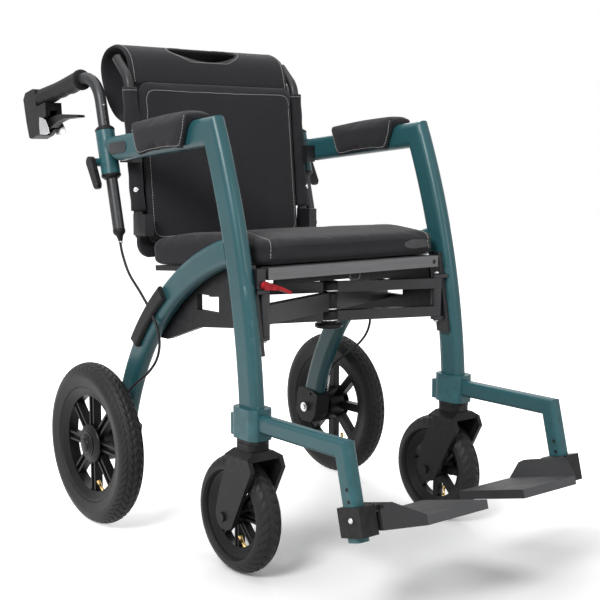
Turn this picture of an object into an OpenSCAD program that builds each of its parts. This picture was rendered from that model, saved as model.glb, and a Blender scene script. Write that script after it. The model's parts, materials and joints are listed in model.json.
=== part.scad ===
// Rollator transport chair: a folding walking frame on four wheels with a seat, a backrest and footrests.
// Millimetres. +Z is up, the chair faces -Y and +X is the sitter's left.

/* [Side frames] */
// Half the distance between the two side frame planes
frame_half_w = 232; // [228:1:238]
// Fore-aft depth of the frame tube
tube_depth = 48; // [44:1:50]
// Side-to-side width of the frame tube
tube_width = 28; // [26:1:30]
// Corner radius of the frame tube's section
tube_round = 12; // [8:1:12]
// Radius of the front leg's bow
leg_bow_r = 1422; // [1380:2:1460]
// Radius of the curved rear leg
rear_leg_r = 488; // [484:1:492]
// Height of the armrest tube's axis above the rear axle
armrest_rise = 549; // [540:1:560]
// Upward slope of the armrest tube towards the front, in degrees
armrest_slope = 4.9; // [3:0.1:6]

/* [Wheels] */
// Outer diameter of the rear tyre
rear_wheel_d = 305; // [295:1:315]
// Width of the rear tyre
rear_tyre_w = 49; // [44:1:50]
// Diameter of the rear axle
rear_axle_d = 12; // [10:0.5:14]
// Number of spokes in each wheel
spoke_count = 8; // [6:1:8]
// Outer diameter of the front tyre
front_wheel_d = 199; // [190:1:204]
// Width of the front tyre
front_tyre_w = 46; // [40:1:48]
// Diameter of the caster's axle bolt
front_axle_d = 10; // [8:0.5:12]
// Distance of the caster's wheel axle behind its swivel axis
caster_trail = 38; // [32:1:42]

/* [Handles] */
// Diameter of the handle tube
handle_d = 22; // [20:0.5:24]
// Backward lean of the handle tube, in degrees
handle_lean = 14; // [12:0.5:16]
// Length of the handle tube below the sleeve
handle_below = 110; // [90:1:120]
// Length of the sleeve on the armrest tube
sleeve_len = 86; // [76:1:92]
// Outer diameter of the sleeve
sleeve_d = 36; // [34:1:40]
// Diameter of the grip
grip_d = 35; // [31:1:35]
// Length of the grip
grip_len = 172; // [150:1:180]

/* [Footrests] */
// Fore-aft depth of the footrest tube
foot_tube_depth = 30; // [28:1:32]
// Width of the footrest tube
foot_tube_width = 24; // [22:1:26]
// Forward reach of the footrest tube from the front leg's foot
foot_reach = 229; // [215:1:240]
// Length of a footplate towards the middle
plate_len = 168; // [140:1:175]
// Depth of a footplate
plate_depth = 140; // [120:1:150]
// Thickness of a footplate
plate_t = 14; // [11:1:16]
// Diameter of the footplate's hinge pin
plate_pin_d = 8; // [6:0.5:9]

/* [Seat and fold] */
// Distance of the cross arms' front hinge pins from the side frame's inner face
arm_hinge_in = 20.5; // [19:0.5:23]
// Rest angle of a cross arm to the chair's width, in degrees
arm_angle = 20; // [17:0.5:22]
// Thickness of the cross arms
arm_t = 18; // [14:1:19]
// Diameter of the cross arms' hinge pins
arm_pin_d = 8; // [6:0.5:9]
// Height of the seat's hinge line
seat_pivot_z = 497; // [495:0.5:500]
// Thickness of the seat cushion at its sides
cushion_t = 42; // [34:1:48]
// Rise of the cushion's crown above its sides
cushion_crown = 16; // [6:1:20]

/* [Backrest] */
// Height of the back panel
back_h = 320; // [290:1:330]
// Backward lean of the back panel, in degrees
back_lean = 5.3; // [4:0.1:7]
// Diameter of the back posts
post_d = 18; // [16:0.5:20]
// Thickness of the back panel
back_t = 16; // [12:1:20]

/* [Fits] */
// Radial clearance of a shaft in its bearing
run_gap = 0.05; // [0.02:0.01:0.1]
// Gap between parts that move past each other
side_gap = 0.6; // [0.4:0.05:0.9]

/* [Hidden] */
$fn = 64;
paint = [0.18, 0.38, 0.41];
dark = [0.12, 0.12, 0.13];
grey = [0.35, 0.36, 0.37];
steel = [0.72, 0.73, 0.75];
cloth = [0.17, 0.17, 0.18];
red = [0.75, 0.12, 0.14];

// A bend is drawn a hair thicker than its straight tubes, which run a little into it
lap = 1;
lap_step = 0.1;

// Rear wheel and axle
rear_r = rear_wheel_d / 2;
axle_r = rear_axle_d / 2;
wheel_x = frame_half_w + 60.5;
frame_in_x = frame_half_w - tube_width / 2;
frame_out_x = frame_half_w + tube_width / 2;

// Front leg: an arc whose centre lies far behind the chair
front_r = front_wheel_d / 2;
crown_gap = 4.5;
crown_t = 12;
stem_block_h = 12;
head_h = 5;
leg_foot_y = -419;
leg_foot_z = front_wheel_d + crown_gap + crown_t + stem_block_h + side_gap + head_h;
leg_foot_lean = 1.5;
leg_cy = leg_foot_y + leg_bow_r * cos(leg_foot_lean);
leg_cz = leg_foot_z - leg_bow_r * sin(leg_foot_lean);
function leg_y(z) = leg_cy - sqrt(leg_bow_r * leg_bow_r - (z - leg_cz) * (z - leg_cz));

// Armrest tube: a straight line that meets the leg's arc at the mitred corner
arm_ref = [-45, rear_r + armrest_rise + 4];
arm_dir = [-cos(armrest_slope), sin(armrest_slope)];
arm_q = [arm_ref[0] - leg_cy, arm_ref[1] - leg_cz];
arm_qd = arm_q * arm_dir;
arm_t_corner = -arm_qd + sqrt(arm_qd * arm_qd - arm_q * arm_q + leg_bow_r * leg_bow_r);
corner = arm_ref + arm_t_corner * arm_dir;
corner_angle = atan2(corner[1] - leg_cz, corner[0] - leg_cy);
mitre_angle = (corner_angle - 90 - armrest_slope) / 2;

// Handle: the post's axis goes through the rear end of the armrest tube
handle_r = handle_d / 2;
handle_dir = [sin(handle_lean), cos(handle_lean)];
sleeve_mid = [40.5, arm_ref[1] - 85.5 * tan(armrest_slope) - 4];
handle_bend_r = 60;
grip_gap = 4.8;
grip_slope = 9.6;
handle_rise = sleeve_len / 2 + 56.8;
bend_start = sleeve_mid + handle_rise * handle_dir;
bend_c = bend_start + handle_bend_r * [cos(handle_lean), -sin(handle_lean)];
grip_dir = [cos(grip_slope), -sin(grip_slope)];
bend_end = bend_c + handle_bend_r * [sin(grip_slope), cos(grip_slope)];
grip_start = bend_end + grip_gap * grip_dir;
grip_end = grip_start + grip_len * grip_dir;
housing_len = 56;
lever_pin_r = 4;
lever_along = -8;
lever_down = 57;
lever_pivot = grip_end + lever_along * grip_dir - lever_down * [sin(grip_slope), cos(grip_slope)];

// Rear leg: an arc that ends above the axle
rear_leg_end = [-5.5, rear_r + 20.5];
rear_leg_end_a = 13.4;
rear_leg_c = rear_leg_end - rear_leg_r * [cos(rear_leg_end_a), sin(rear_leg_end_a)];
// It runs into the front leg until it lies this far behind the leg's axis
rear_leg_join = 16.2;
rear_leg_d = rear_leg_c - [leg_cy, leg_cz];
rear_leg_reach = (pow(leg_bow_r - rear_leg_join, 2) - rear_leg_d * rear_leg_d - rear_leg_r * rear_leg_r)
    / (2 * rear_leg_r * norm(rear_leg_d));
rear_leg_start_a = atan2(rear_leg_d[1], rear_leg_d[0]) - acos(rear_leg_reach) + 360;

// Rear brake and wheel, layer by layer outwards from the leg
bracket_out_x = frame_out_x + 4;
brake_arm_t = 4.4;
plate_in_x = bracket_out_x + brake_arm_t + 2 * side_gap;
plate_out_x = plate_in_x + 5;
hub_in_x = plate_out_x + side_gap;
hub_out_x = wheel_x + 20;
drum_r = 36;
hub_cap_r = 37;
brake_pivot = [-16, rear_r + 30];

// Caster
caster_axle_y = leg_foot_y + caster_trail;
fork_in = front_tyre_w / 2 + 4;
fork_t = 8;
crown_top = leg_foot_z - head_h - side_gap - stem_block_h;
stem_r = 6;
stem_len = 45;

// Footrest: tube forward from the collar, bend, then down to the clamp
foot_tube_z = leg_foot_z + 29;
foot_lean = 14;
foot_corner = [leg_foot_y - foot_reach, foot_tube_z];
foot_mitre = (90 - foot_lean) / 2;
foot_dir = [-sin(foot_lean), -cos(foot_lean)];
foot_drop = 135.5;
foot_end = foot_corner + foot_drop * foot_dir;
clamp_up = 24;
clamp_o = foot_end - clamp_up * foot_dir;
clamp_w = 32;
clamp_h = 44;
clamp_front = 29;
clamp_back = 20;
plate_pin_r = plate_pin_d / 2;
knuckle_r = plate_pin_r + 2.5;
plate_hinge_x = frame_half_w - clamp_w / 2 - knuckle_r - side_gap;
plate_hinge_w = 22;
plate_top_w = 2;
plate_back = 58;

// The brake housing's end is the rearmost point and the footplates' front edge the foremost one
rear_most = grip_end[0] + housing_len * cos(grip_slope) + 8 * sin(grip_slope);
front_most = clamp_o[0] + (plate_back - plate_depth) * cos(foot_lean) + (plate_top_w - plate_t) * sin(foot_lean);
axle_y = -(rear_most + front_most) / 2;

// Fold: two arms that cross at the centre pin
arm_hinge_x = frame_in_x - arm_hinge_in;
arm_half = arm_hinge_x / cos(arm_angle);
arm_hinge_y = -404;
arm_centre_y = arm_hinge_y + arm_hinge_x * tan(arm_angle);
arm_pin_r = arm_pin_d / 2;
mid_bar_z = [415, 447];
up_bar_z = [mid_bar_z[1] + side_gap, mid_bar_z[1] + 19];
low_bar_z = [mid_bar_z[0] - 19, mid_bar_z[0] - side_gap];
barrel_r = arm_t / 2 + 1;
lug_t = 6;
centre_pin_r = 5;

// Seat: hinged on the left, tilted up to the front
seat_pivot_x = frame_in_x - 37;
seat_tilt = 3.8;
seat_front_y = -414;
beam_w = 22;
beam_h = 20;
beam_right_x = 23 - frame_in_x;
beam_left_x = frame_in_x - 27;
pan_t = 10;
pan_len = 345;
seat_pin_r = 4;
latch_pivot = [14 - frame_in_x, seat_pivot_z - 17];
latch_r = 4;

// Backrest
post_r = post_d / 2;
pad_w = 52;
post_x = frame_half_w - pad_w / 2 - post_r - side_gap;
post_box_w = 10;
post_base = [-12, 536];
post_dir = [sin(back_lean + 1), cos(back_lean + 1)];
post_len = 282;
post_bend_r = 45;
post_bend_turn = 40;
post_top = post_base + post_len * post_dir;
back_base = [-23, 516];

// Names of the sub-parts

// Placing: side pieces are drawn on the left, in a frame with its Y zero at the rear axle
module place() translate([0, axle_y, 0]) children();
module on_left() place() children();
module on_right() place() mirror([1, 0, 0]) children();

// Rounded rectangle about its centre, w across and h deep
module rounded_rect(w, h, r) {
    square([w - 2 * r, h], center = true);
    square([w, h - 2 * r], center = true);
    for (sx = [-1, 1], sy = [-1, 1])
        translate([sx * (w / 2 - r), sy * (h / 2 - r)]) circle(r);
}

// Turns a shape drawn in XY with its height along Z into the side plane: X to Y, Y to Z, Z to X
module side_plane() rotate([90, 0, 90]) children();

// Tube along an arc in the side plane, centred at c, between two angles
module arc_tube(c, r, a0, a1, w, h, rr)
    translate([0, c[0], c[1]]) side_plane() rotate([0, 0, a0])
        rotate_extrude(angle = a1 - a0, $fn = 180) translate([r, 0]) rounded_rect(h, w, rr);

// Moves a shape along Z onto the line from p towards the side-plane direction d
module along(p, d) translate([0, p[0], p[1]]) rotate([atan2(d[1], d[0]) - 90, 0, 0]) children();

// The same with the local Y axis pointing up when the line runs back
module along_up(p, d) along(p, d) mirror([0, 1, 0]) children();

// Straight tube of a rounded section from p, of length l
module straight_tube(p, d, l, w, h, rr) along(p, d) linear_extrude(l) rounded_rect(w, h, rr);

// Cylinder with its axis along X
module x_rod(x0, x1, p, r) translate([x0, p[0], p[1]]) rotate([0, 90, 0]) cylinder(h = x1 - x0, r = r);

// Plate with a side-plane outline between two X values
module side_plate(x0, x1, pts) translate([x0, 0, 0]) side_plane() linear_extrude(x1 - x0) polygon(pts);

// Front leg's arc up to the corner, shared by the tube and the footrest's collar
module leg_arc(a1) arc_tube([leg_cy, leg_cz], leg_bow_r, a1, 180 - leg_foot_lean, tube_width, tube_depth, tube_round);

// Half space in front of the mitre plane, or behind it with a small lap
mitre_lap = 0.3;
arm_step = 0.4;
module mitre_side(p, a, s)
    translate([0, p[0], p[1]]) rotate([a, 0, 0]) translate([-100, s > 0 ? -mitre_lap : -400, -200])
        cube([200, 400, 400]);

// Front tube: leg, mitred corner, armrest tube and handle sleeve
module front_tube() color(paint) translate([frame_half_w, 0, 0]) difference() {
    union() {
        intersection() {
            leg_arc(corner_angle - 3);
            union() {
                mitre_side(corner, mitre_angle, -1);
                translate([-100, -700, 0]) cube([200, 700, corner[1] - tube_depth]);
            }
        }
        intersection() {
            straight_tube(corner - 60 * [-arm_dir[0], -arm_dir[1]] , [-arm_dir[0], -arm_dir[1]],
                60 + norm(sleeve_mid - corner) - handle_r - 1.5, tube_width - 2 * arm_step,
                tube_depth - 2 * arm_step, tube_round - arm_step);
            mitre_side(corner, mitre_angle, 1);
        }
        along(sleeve_mid - sleeve_len / 2 * handle_dir, handle_dir) cylinder(h = sleeve_len, d = sleeve_d);
        x_rod(0, clamp_boss_x - frame_half_w, clamp_pivot, 8);
    }
    along(sleeve_mid - sleeve_len * handle_dir, handle_dir) cylinder(h = 2 * sleeve_len, r = handle_r + run_gap);
    translate([0, leg_foot_y, 0]) cylinder(h = leg_foot_z + stem_len, r = stem_r + run_gap);
    x_rod(0, 100, clamp_pivot, clamp_pin_r + run_gap);
}

// Pivot of the clamp lever on the sleeve's outer side
clamp_pivot = sleeve_mid + [14, -18];
clamp_boss_x = frame_half_w + 24;
clamp_pin_r = 3.5;

// Rear leg: curved tube from the front leg to the axle bracket
module rear_leg() color(paint) translate([frame_half_w, 0, 0])
    arc_tube(rear_leg_c, rear_leg_r, rear_leg_end_a, rear_leg_start_a, tube_width, tube_depth, tube_round);

// Armrest pad: a padded wrap, flush with the tube's underside
pad_top = 18;
pad_len = 177;
pad_start = 57;
pad_rear_cut = 24;
pad_nose = [8, 12];
module armrest_pad() color(cloth) translate([frame_half_w, 0, 0])
    along_up(corner - pad_start * arm_dir, [-arm_dir[0], -arm_dir[1]]) intersection() {
        translate([0, 0, -20]) linear_extrude(pad_len + 40) difference() {
            translate([0, pad_top / 2]) rounded_rect(pad_w, tube_depth + pad_top, 14);
            rounded_rect(tube_width, tube_depth, tube_round);
            translate([0, -tube_depth / 2]) square([tube_width, tube_depth], center = true);
        }
        top = tube_depth / 2 + pad_top;
        side_plate(-pad_w, pad_w, [
            [top + pad_nose[0], 2 * pad_nose[1]], [top - pad_nose[0], 0], [-tube_depth / 2 - 1, 0],
            [-tube_depth / 2 - 1, pad_len - pad_rear_cut], [top + 1, pad_len]]);
    }

// Handle tube: sliding post, bend and grip bar
module handle_tube() color(grey) translate([frame_half_w, 0, 0]) {
    along(sleeve_mid - (sleeve_len / 2 + handle_below) * handle_dir, handle_dir)
        cylinder(h = sleeve_len / 2 + handle_below + handle_rise + lap, r = handle_r);
    translate([0, bend_c[0], bend_c[1]]) side_plane() rotate([0, 0, 90 - grip_slope])
        rotate_extrude(angle = 90 + grip_slope - handle_lean, $fn = 96)
            translate([handle_bend_r, 0]) circle(handle_r + lap_step);
    along(bend_end - lap * grip_dir, grip_dir) cylinder(h = grip_gap + grip_len + housing_len - 14 + lap, r = handle_r);
}

// Grip: rubber sleeve with a front collar and a waist
module grip() color(dark) translate([frame_half_w, 0, 0]) along(grip_start, grip_dir)
    rotate_extrude() polygon([
        [handle_r, 0], [grip_d / 2 + 2, 0], [grip_d / 2 + 2, 8], [grip_d / 2, 14],
        [grip_d / 2 - 2, grip_len * 0.5], [grip_d / 2, grip_len - 10], [grip_d / 2, grip_len], [handle_r, grip_len]]);

// Brake housing: end block of the grip with a lower front part, slotted for the lever
housing_w = 36;
cheek_gap = 17;
module brake_housing() color(dark) translate([frame_half_w, 0, 0]) along_up(grip_end, grip_dir) {
    difference() {
        translate([-housing_w / 2, 0, 0]) grip_side() linear_extrude(housing_w) polygon([
            [17, 0], [20, 8], [19, housing_len - 12], [8, housing_len], [-40, housing_len - 4],
            [-74, housing_len - 10], [-78, housing_len - 20], [-76, 8], [-68, -20], [-48, -24], [-44, -40],
            [-18, -42], [-18, 0]]);
        translate([0, 0, -1]) cylinder(h = housing_len - 14 + 1, r = handle_r);
        translate([-cheek_gap / 2, -100, -60]) cube([cheek_gap, 66, 60 + 6]);
    }
    lever_axis(housing_w, lever_pin_r);
}

// Turns a shape drawn with X up from the grip's axis and Y along it into the grip's frame
module grip_side() rotate([0, 90, 0]) rotate([0, 0, 90]) children();

// Rod on the brake lever's axis, in the grip's frame
module lever_axis(w, r) translate([-w / 2, -lever_down, lever_along]) rotate([0, 90, 0]) cylinder(h = w, r = r);

// Brake lever: barrel on its pin and a bowed blade under the grip
lever_w = cheek_gap - 2 * side_gap;
module brake_lever() color(dark) translate([frame_half_w, 0, 0]) along_up(grip_end, grip_dir) difference() {
    union() {
        lever_axis(lever_w, 8);
        translate([-lever_w / 2, 0, 0]) grip_side() linear_extrude(lever_w) polygon([
            [-52, lever_along - 5.5], [-48, -30], [-48, -62], [-50, -84], [-58, -122], [-65, -153], [-70, -154],
            [-65, -118], [-61, -90], [-62, -62], [-68, -36], [-62, lever_along - 5.5]]);
    }
    lever_axis(100, lever_pin_r + run_gap);
}

// Clamp lever: cam lever on the sleeve's boss
module clamp_lever() color(dark) translate([clamp_boss_x + side_gap, clamp_pivot[0], clamp_pivot[1]]) {
    side_plane() linear_extrude(9) union() {
        circle(11);
        polygon([[-11, 3], [10, -4], [-17, -47], [-24, -50], [-31, -47], [-33, -40]]);
    }
    rotate([0, -90, 0]) cylinder(h = 8, r = clamp_pin_r);
}

// Points between the given ones on a smooth curve
function smooth_point(p, i, t) = let (
    n = len(p) - 1,
    a = p[max(i - 1, 0)], b = p[i], c = p[min(i + 1, n)], d = p[min(i + 2, n)])
    b + 0.5 * t * (c - a + t * (2 * a - 5 * b + 4 * c - d + t * (3 * (b - c) + d - a)));
function smooth_route(p, steps) = [
    for (i = [0 : len(p) - 2], k = [0 : steps - 1]) smooth_point(p, i, k / steps), p[len(p) - 1]];

// Round cord along a route that stays near the side plane
module cord(route, r, sides) {
    n = len(route);
    ring = function (i) let (
        t = route[min(i + 1, n - 1)] - route[max(i - 1, 0)],
        u = cross(t, [1, 0, 0]) / norm(cross(t, [1, 0, 0])),
        v = cross(u, t) / norm(cross(u, t)))
        [for (k = [0 : sides - 1]) route[i] + r * (cos(360 * k / sides) * u + sin(360 * k / sides) * v)];
    points = [for (i = [0 : n - 1]) each ring(i)];
    walls = [for (i = [0 : n - 2], k = [0 : sides - 1]) let (a = i * sides + k, b = i * sides + (k + 1) % sides)
        each [[a, b, a + sides], [b, b + sides, a + sides]]];
    ends = [[for (k = [sides - 1 : -1 : 0]) k], [for (k = [0 : sides - 1]) (n - 1) * sides + k]];
    polyhedron(points, concat(walls, ends));
}

// Brake cable: from the post's lower end, over the rear leg's outer side, to the brake arm
cable_r = 2.5;
cable_top = sleeve_mid - (sleeve_len / 2 + handle_below + side_gap) * handle_dir;
cable_end = brake_pivot + [-10, 33];
cable_route = [
    [frame_half_w, cable_top[0], cable_top[1]],
    [frame_half_w + 1, cable_top[0] - 4, cable_top[1] - 16],
    [frame_half_w + 8, -22, 505],
    [frame_out_x + 4, -62, 474],
    [frame_out_x + 6, -104, 444],
    [frame_out_x + 5, -136, 414],
    [frame_out_x + 4, -157, 384],
    [frame_out_x + 4, -164, 356],
    [frame_out_x + 4, -152, 326],
    [frame_out_x + 5, -122, 298],
    [frame_out_x + 7, -78, 270],
    [bracket_out_x + side_gap + brake_arm_t / 2, -44, 244],
    [bracket_out_x + side_gap + brake_arm_t / 2, cable_end[0] - 4, cable_end[1] + 8]];
module brake_cable() color(dark) cord(smooth_route(cable_route, 4), cable_r, 8);

// Cable cover: blank oblong clip that holds the cable on the rear leg's outer side
module cable_cover() color(dark) difference() {
    translate([frame_out_x, 0, 0]) intersection() {
        arc_tube(rear_leg_c, rear_leg_r + 7, 36, 52, 20, 27, 6);
        translate([0, -400, 0]) cube([40, 800, 800]);
    }
    cord(smooth_route(cable_route, 4), cable_r + 0.4, 8);
}

// Side fairing: panel on the inside of the rear leg, with a window
fairing_t = 11;
module side_fairing() color(dark) difference() {
    side_plate(frame_in_x - fairing_t, frame_in_x, [
        [leg_y(500) + 17, 500], [leg_y(408) + 17, 408], [-246, 394], [-140, 360], [-112, 360],
        [-122, 390], [-150, 424], [-196, 462], [-248, 488], [-300, 502]]);
    translate([frame_in_x - fairing_t - 1, -304, 424]) cube([fairing_t + 2, 66, 28]);
}

// Ledge under the free side of the seat, on the right fairing only
module seat_ledge() color(dark) seat_frame() translate([fairing_t - frame_in_x - 2, 70, -pan_t - side_gap - 7])
    cube([34, 70, 7]);

// Axle bracket: casting round the rear leg's end, with the brake's backing plate
module axle_bracket() color(dark) difference() {
    union() {
        side_plate(frame_in_x - 4, bracket_out_x, [
            [-38, rear_r + 30], [-30, rear_r - 14], [-16, rear_r - 32], [16, rear_r - 32],
            [34, rear_r - 14], [32, rear_r + 24], [24, rear_r + 40], [-20, rear_r + 38]]);
        x_rod(frame_in_x + 4, plate_out_x, [0, rear_r], 16);
        x_rod(plate_in_x, plate_out_x, [0, rear_r], drum_r);
        x_rod(plate_in_x, plate_out_x, brake_pivot, 9);
    }
    rear_leg();
    x_rod(0, 400, [0, rear_r], axle_r);
    x_rod(0, 400, brake_pivot, brake_pin_r + run_gap);
}
brake_pin_r = 3;

// Rear axle with its inner nut and outer head
module rear_axle() color(steel) {
    x_rod(frame_in_x - 14, hub_out_x + 3, [0, rear_r], axle_r);
    x_rod(frame_in_x - 11, frame_in_x - 4, [0, rear_r], axle_r + 4);
    x_rod(hub_out_x + side_gap, hub_out_x + 5, [0, rear_r], axle_r + 4);
}

// Brake arm: lever on the backing plate that the cable pulls
module brake_arm() color(steel) {
    translate([bracket_out_x + side_gap, brake_pivot[0], brake_pivot[1]]) side_plane()
        linear_extrude(brake_arm_t) union() {
            circle(8);
            polygon([[-8, 0], [8, 0], [-4, 38], [-16, 38]]);
        }
    x_rod(bracket_out_x + side_gap, plate_out_x - 0.5, brake_pivot, brake_pin_r);
}

// Ring of a tyre about the X axis: round tread, and side walls that draw in to the rim's width
module tyre(x, p, r, w, h, rim_w) translate([x, p[0], p[1]]) rotate([0, 90, 0]) rotate_extrude($fn = 120) {
    intersection() {
        translate([r - w / 2, 0]) circle(w / 2);
        translate([r - w / 2 + 1, -w]) square([w, 2 * w]);
    }
    polygon([[r - w / 2 + 2, 0.4 - w / 2], [r - w / 2 + 2, w / 2 - 0.4], [r - h, rim_w / 2 + 1], [r - h, -rim_w / 2 - 1]]);
}

// Rear tyre
rear_tyre_h = 45;
rear_rim_w = 36;
module rear_tyre() color(dark) tyre(wheel_x, [0, rear_r], rear_r, rear_tyre_w, rear_tyre_h, rear_rim_w);

// Rim ring under a tyre, hub and channelled spokes, about the X axis
rim_t = 17;
spoke_rib = 4;
module rim(x, p, r_out, w, hub_r, hub0, hub1, bore_r, spoke_w, spoke_t) translate([x, p[0], p[1]]) rotate([0, 90, 0])
    difference() {
        union() {
            rotate_extrude($fn = 120) polygon([
                [r_out - 3, -w / 2], [r_out, -w / 2], [r_out, w / 2], [r_out - 3, w / 2], [r_out - rim_t, w / 2 - 8],
                [r_out - rim_t, 8 - w / 2]]);
            translate([0, 0, hub0]) cylinder(h = hub1 - hub0, r = hub_r);
            for (i = [0 : spoke_count - 1]) rotate([0, 0, 360 * i / spoke_count]) difference() {
                translate([0, -spoke_w / 2, -spoke_t / 2]) cube([r_out - rim_t / 2, spoke_w, spoke_t]);
                translate([hub_r - 2, spoke_rib - spoke_w / 2, spoke_t / 2 - 6])
                    cube([r_out - rim_t - hub_r + 3.3, spoke_w - 2 * spoke_rib, 20]);
            }
        }
        translate([0, 0, hub0 - 100]) cylinder(h = 200 + hub1 - hub0, r = bore_r);
    }

// Rear rim with its hub drum, domed cap and valve
module rear_rim() color(dark) {
    rim(wheel_x, [0, rear_r], rear_r - rear_tyre_h, rear_rim_w, 24, hub_in_x - wheel_x, hub_out_x - wheel_x,
        axle_r + run_gap, 17, 16);
    translate([hub_in_x, 0, rear_r]) rotate([0, 90, 0]) difference() {
        cylinder(h = wheel_x - hub_in_x, r = drum_r);
        translate([0, 0, -1]) cylinder(h = wheel_x, r = 20);
    }
    translate([hub_out_x, 0, rear_r]) rotate([0, 90, 0]) rotate_extrude() polygon([
        [20, -10], [hub_cap_r - 1, -10], [hub_cap_r, -8], [hub_cap_r - 1.5, -6], [hub_cap_r * 0.75, -2.4],
        [hub_cap_r * 0.5, -0.5], [20, -0.5]]);
}

// Caster head: bearing ring under the leg's foot
module caster_head() color(dark) difference() {
    translate([frame_half_w, leg_foot_y, leg_foot_z - head_h]) linear_extrude(head_h + 1.5)
        rounded_rect(tube_width + 10, tube_depth + 10, tube_round + 4);
    translate([frame_half_w, 0, 0]) leg_arc(corner_angle + 15);
    translate([frame_half_w, leg_foot_y, 0]) cylinder(h = leg_foot_z + 20, r = stem_r + run_gap);
}

// Caster fork: stem block and crown, two broad trailing legs and the axle bolt
module caster_fork() color(dark) translate([frame_half_w, 0, 0]) {
    p = [caster_axle_y, front_r];
    w = fork_in + fork_t;
    translate([0, leg_foot_y, crown_top]) linear_extrude(stem_block_h) rounded_rect(40, 50, 12);
    translate([0, leg_foot_y, crown_top]) cylinder(h = stem_block_h + side_gap + head_h + stem_len - 2, r = stem_r);
    intersection() {
        translate([-w, leg_foot_y - 40, crown_top - crown_t]) cube([2 * w, 80, crown_t + 1]);
        translate([0, leg_foot_y + 100, crown_top + 1]) rotate([90, 0, 0]) linear_extrude(200)
            polygon([[-20, 0], [20, 0], [w, -crown_t + 3], [w, -crown_t - 2], [-w, -crown_t - 2], [-w, -crown_t + 3]]);
        side_plate(-w, w, [[leg_foot_y - 34, crown_top - crown_t], [leg_foot_y - 28, crown_top + 1],
            [leg_foot_y + 26, crown_top + 1], [leg_foot_y + 32, crown_top - crown_t]]);
    }
    for (x = [[-w, -fork_in], [fork_in, w]])
        side_plate(x[0], x[1], [
            [leg_foot_y - 42, crown_top - 26], [leg_foot_y - 34, crown_top - crown_t + 4],
            [leg_foot_y + 16, crown_top - crown_t + 4], [leg_foot_y + 23, crown_top - crown_t - 4],
            [p[0] + 7, p[1] + 50], [p[0] + 18, p[1] + 14], [p[0] + 20, p[1] + 4], [p[0] + 18, p[1] - 6],
            [p[0] + 12, p[1] - 15], [p[0] + 3, p[1] - 20], [p[0] - 8, p[1] - 21], [p[0] - 19, p[1] - 18],
            [p[0] - 27, p[1] - 11], [p[0] - 31, p[1] - 2]]);
    x_rod(-w - 3, w + 3, p, front_axle_d / 2);
    for (x = [-w - 4, w])
        x_rod(x, x + 4, p, front_axle_d / 2 + 3);
}

// Front tyre and rim
front_tyre_h = 26;
front_rim_w = 30;
module front_tyre() color(dark) tyre(frame_half_w, [caster_axle_y, front_r], front_r, front_tyre_w, front_tyre_h,
    front_rim_w);
module front_rim() color(dark) rim(frame_half_w, [caster_axle_y, front_r], front_r - front_tyre_h, front_rim_w,
    19, side_gap - fork_in, fork_in - side_gap, front_axle_d / 2 + run_gap, 12, 13);

// Footrest tube: collar round the leg with its rear flange, forward tube, mitred corner and drop tube
collar_h = 51;
collar_wall = 8;
flange = [24, 14, 36];
module footrest_tube() color(paint) translate([frame_half_w, 0, 0]) {
    difference() {
        union() {
            translate([0, leg_y(leg_foot_z + 28), leg_foot_z + 1.5]) {
                linear_extrude(collar_h) rounded_rect(tube_width + 2 * collar_wall, tube_depth + 2 * collar_wall, 14);
                translate([-flange[0] / 2, tube_depth / 2 + collar_wall - 2, 0]) cube(flange);
            }
            intersection() {
                straight_tube([leg_foot_y, foot_tube_z], [-1, 0], foot_reach + 60, foot_tube_width - 2 * arm_step,
                    foot_tube_depth - 2 * arm_step, 8 - arm_step);
                mitre_side(foot_corner, foot_mitre, 1);
            }
        }
        leg_arc(corner_angle + 10);
    }
    intersection() {
        straight_tube(foot_corner - 60 * foot_dir, foot_dir, foot_drop + 60, foot_tube_width, foot_tube_depth, 8);
        mitre_side(foot_corner, foot_mitre, -1);
    }
}

// Local frame of the footplate: across the drop tube, X sideways, Y back, Z up along the tube
module plate_frame() translate([0, clamp_o[0], clamp_o[1]]) rotate([-foot_lean, 0, 0]) children();

// Footplate clamp: block round the drop tube with the hinge's middle knuckle and pin
module footplate_clamp() color(dark) plate_frame() difference() {
    union() {
        translate([frame_half_w - clamp_w / 2, -clamp_front, -16])
            cube([clamp_w, clamp_front + clamp_back, clamp_h]);
        translate([plate_hinge_x, -14, plate_hinge_w]) rotate([-90, 0, 0]) cylinder(h = 24, r = knuckle_r);
        translate([plate_hinge_x, -14, plate_hinge_w - knuckle_r])
            cube([frame_half_w - plate_hinge_x - clamp_w / 2 + 1, 24, 2 * knuckle_r]);
        translate([plate_hinge_x, -clamp_front + 2, plate_hinge_w]) rotate([-90, 0, 0])
            cylinder(h = clamp_front + clamp_back - 4, r = plate_pin_r);
    }
    translate([frame_half_w, 0, -100]) linear_extrude(200) rounded_rect(foot_tube_width, foot_tube_depth, 8);
}

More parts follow.
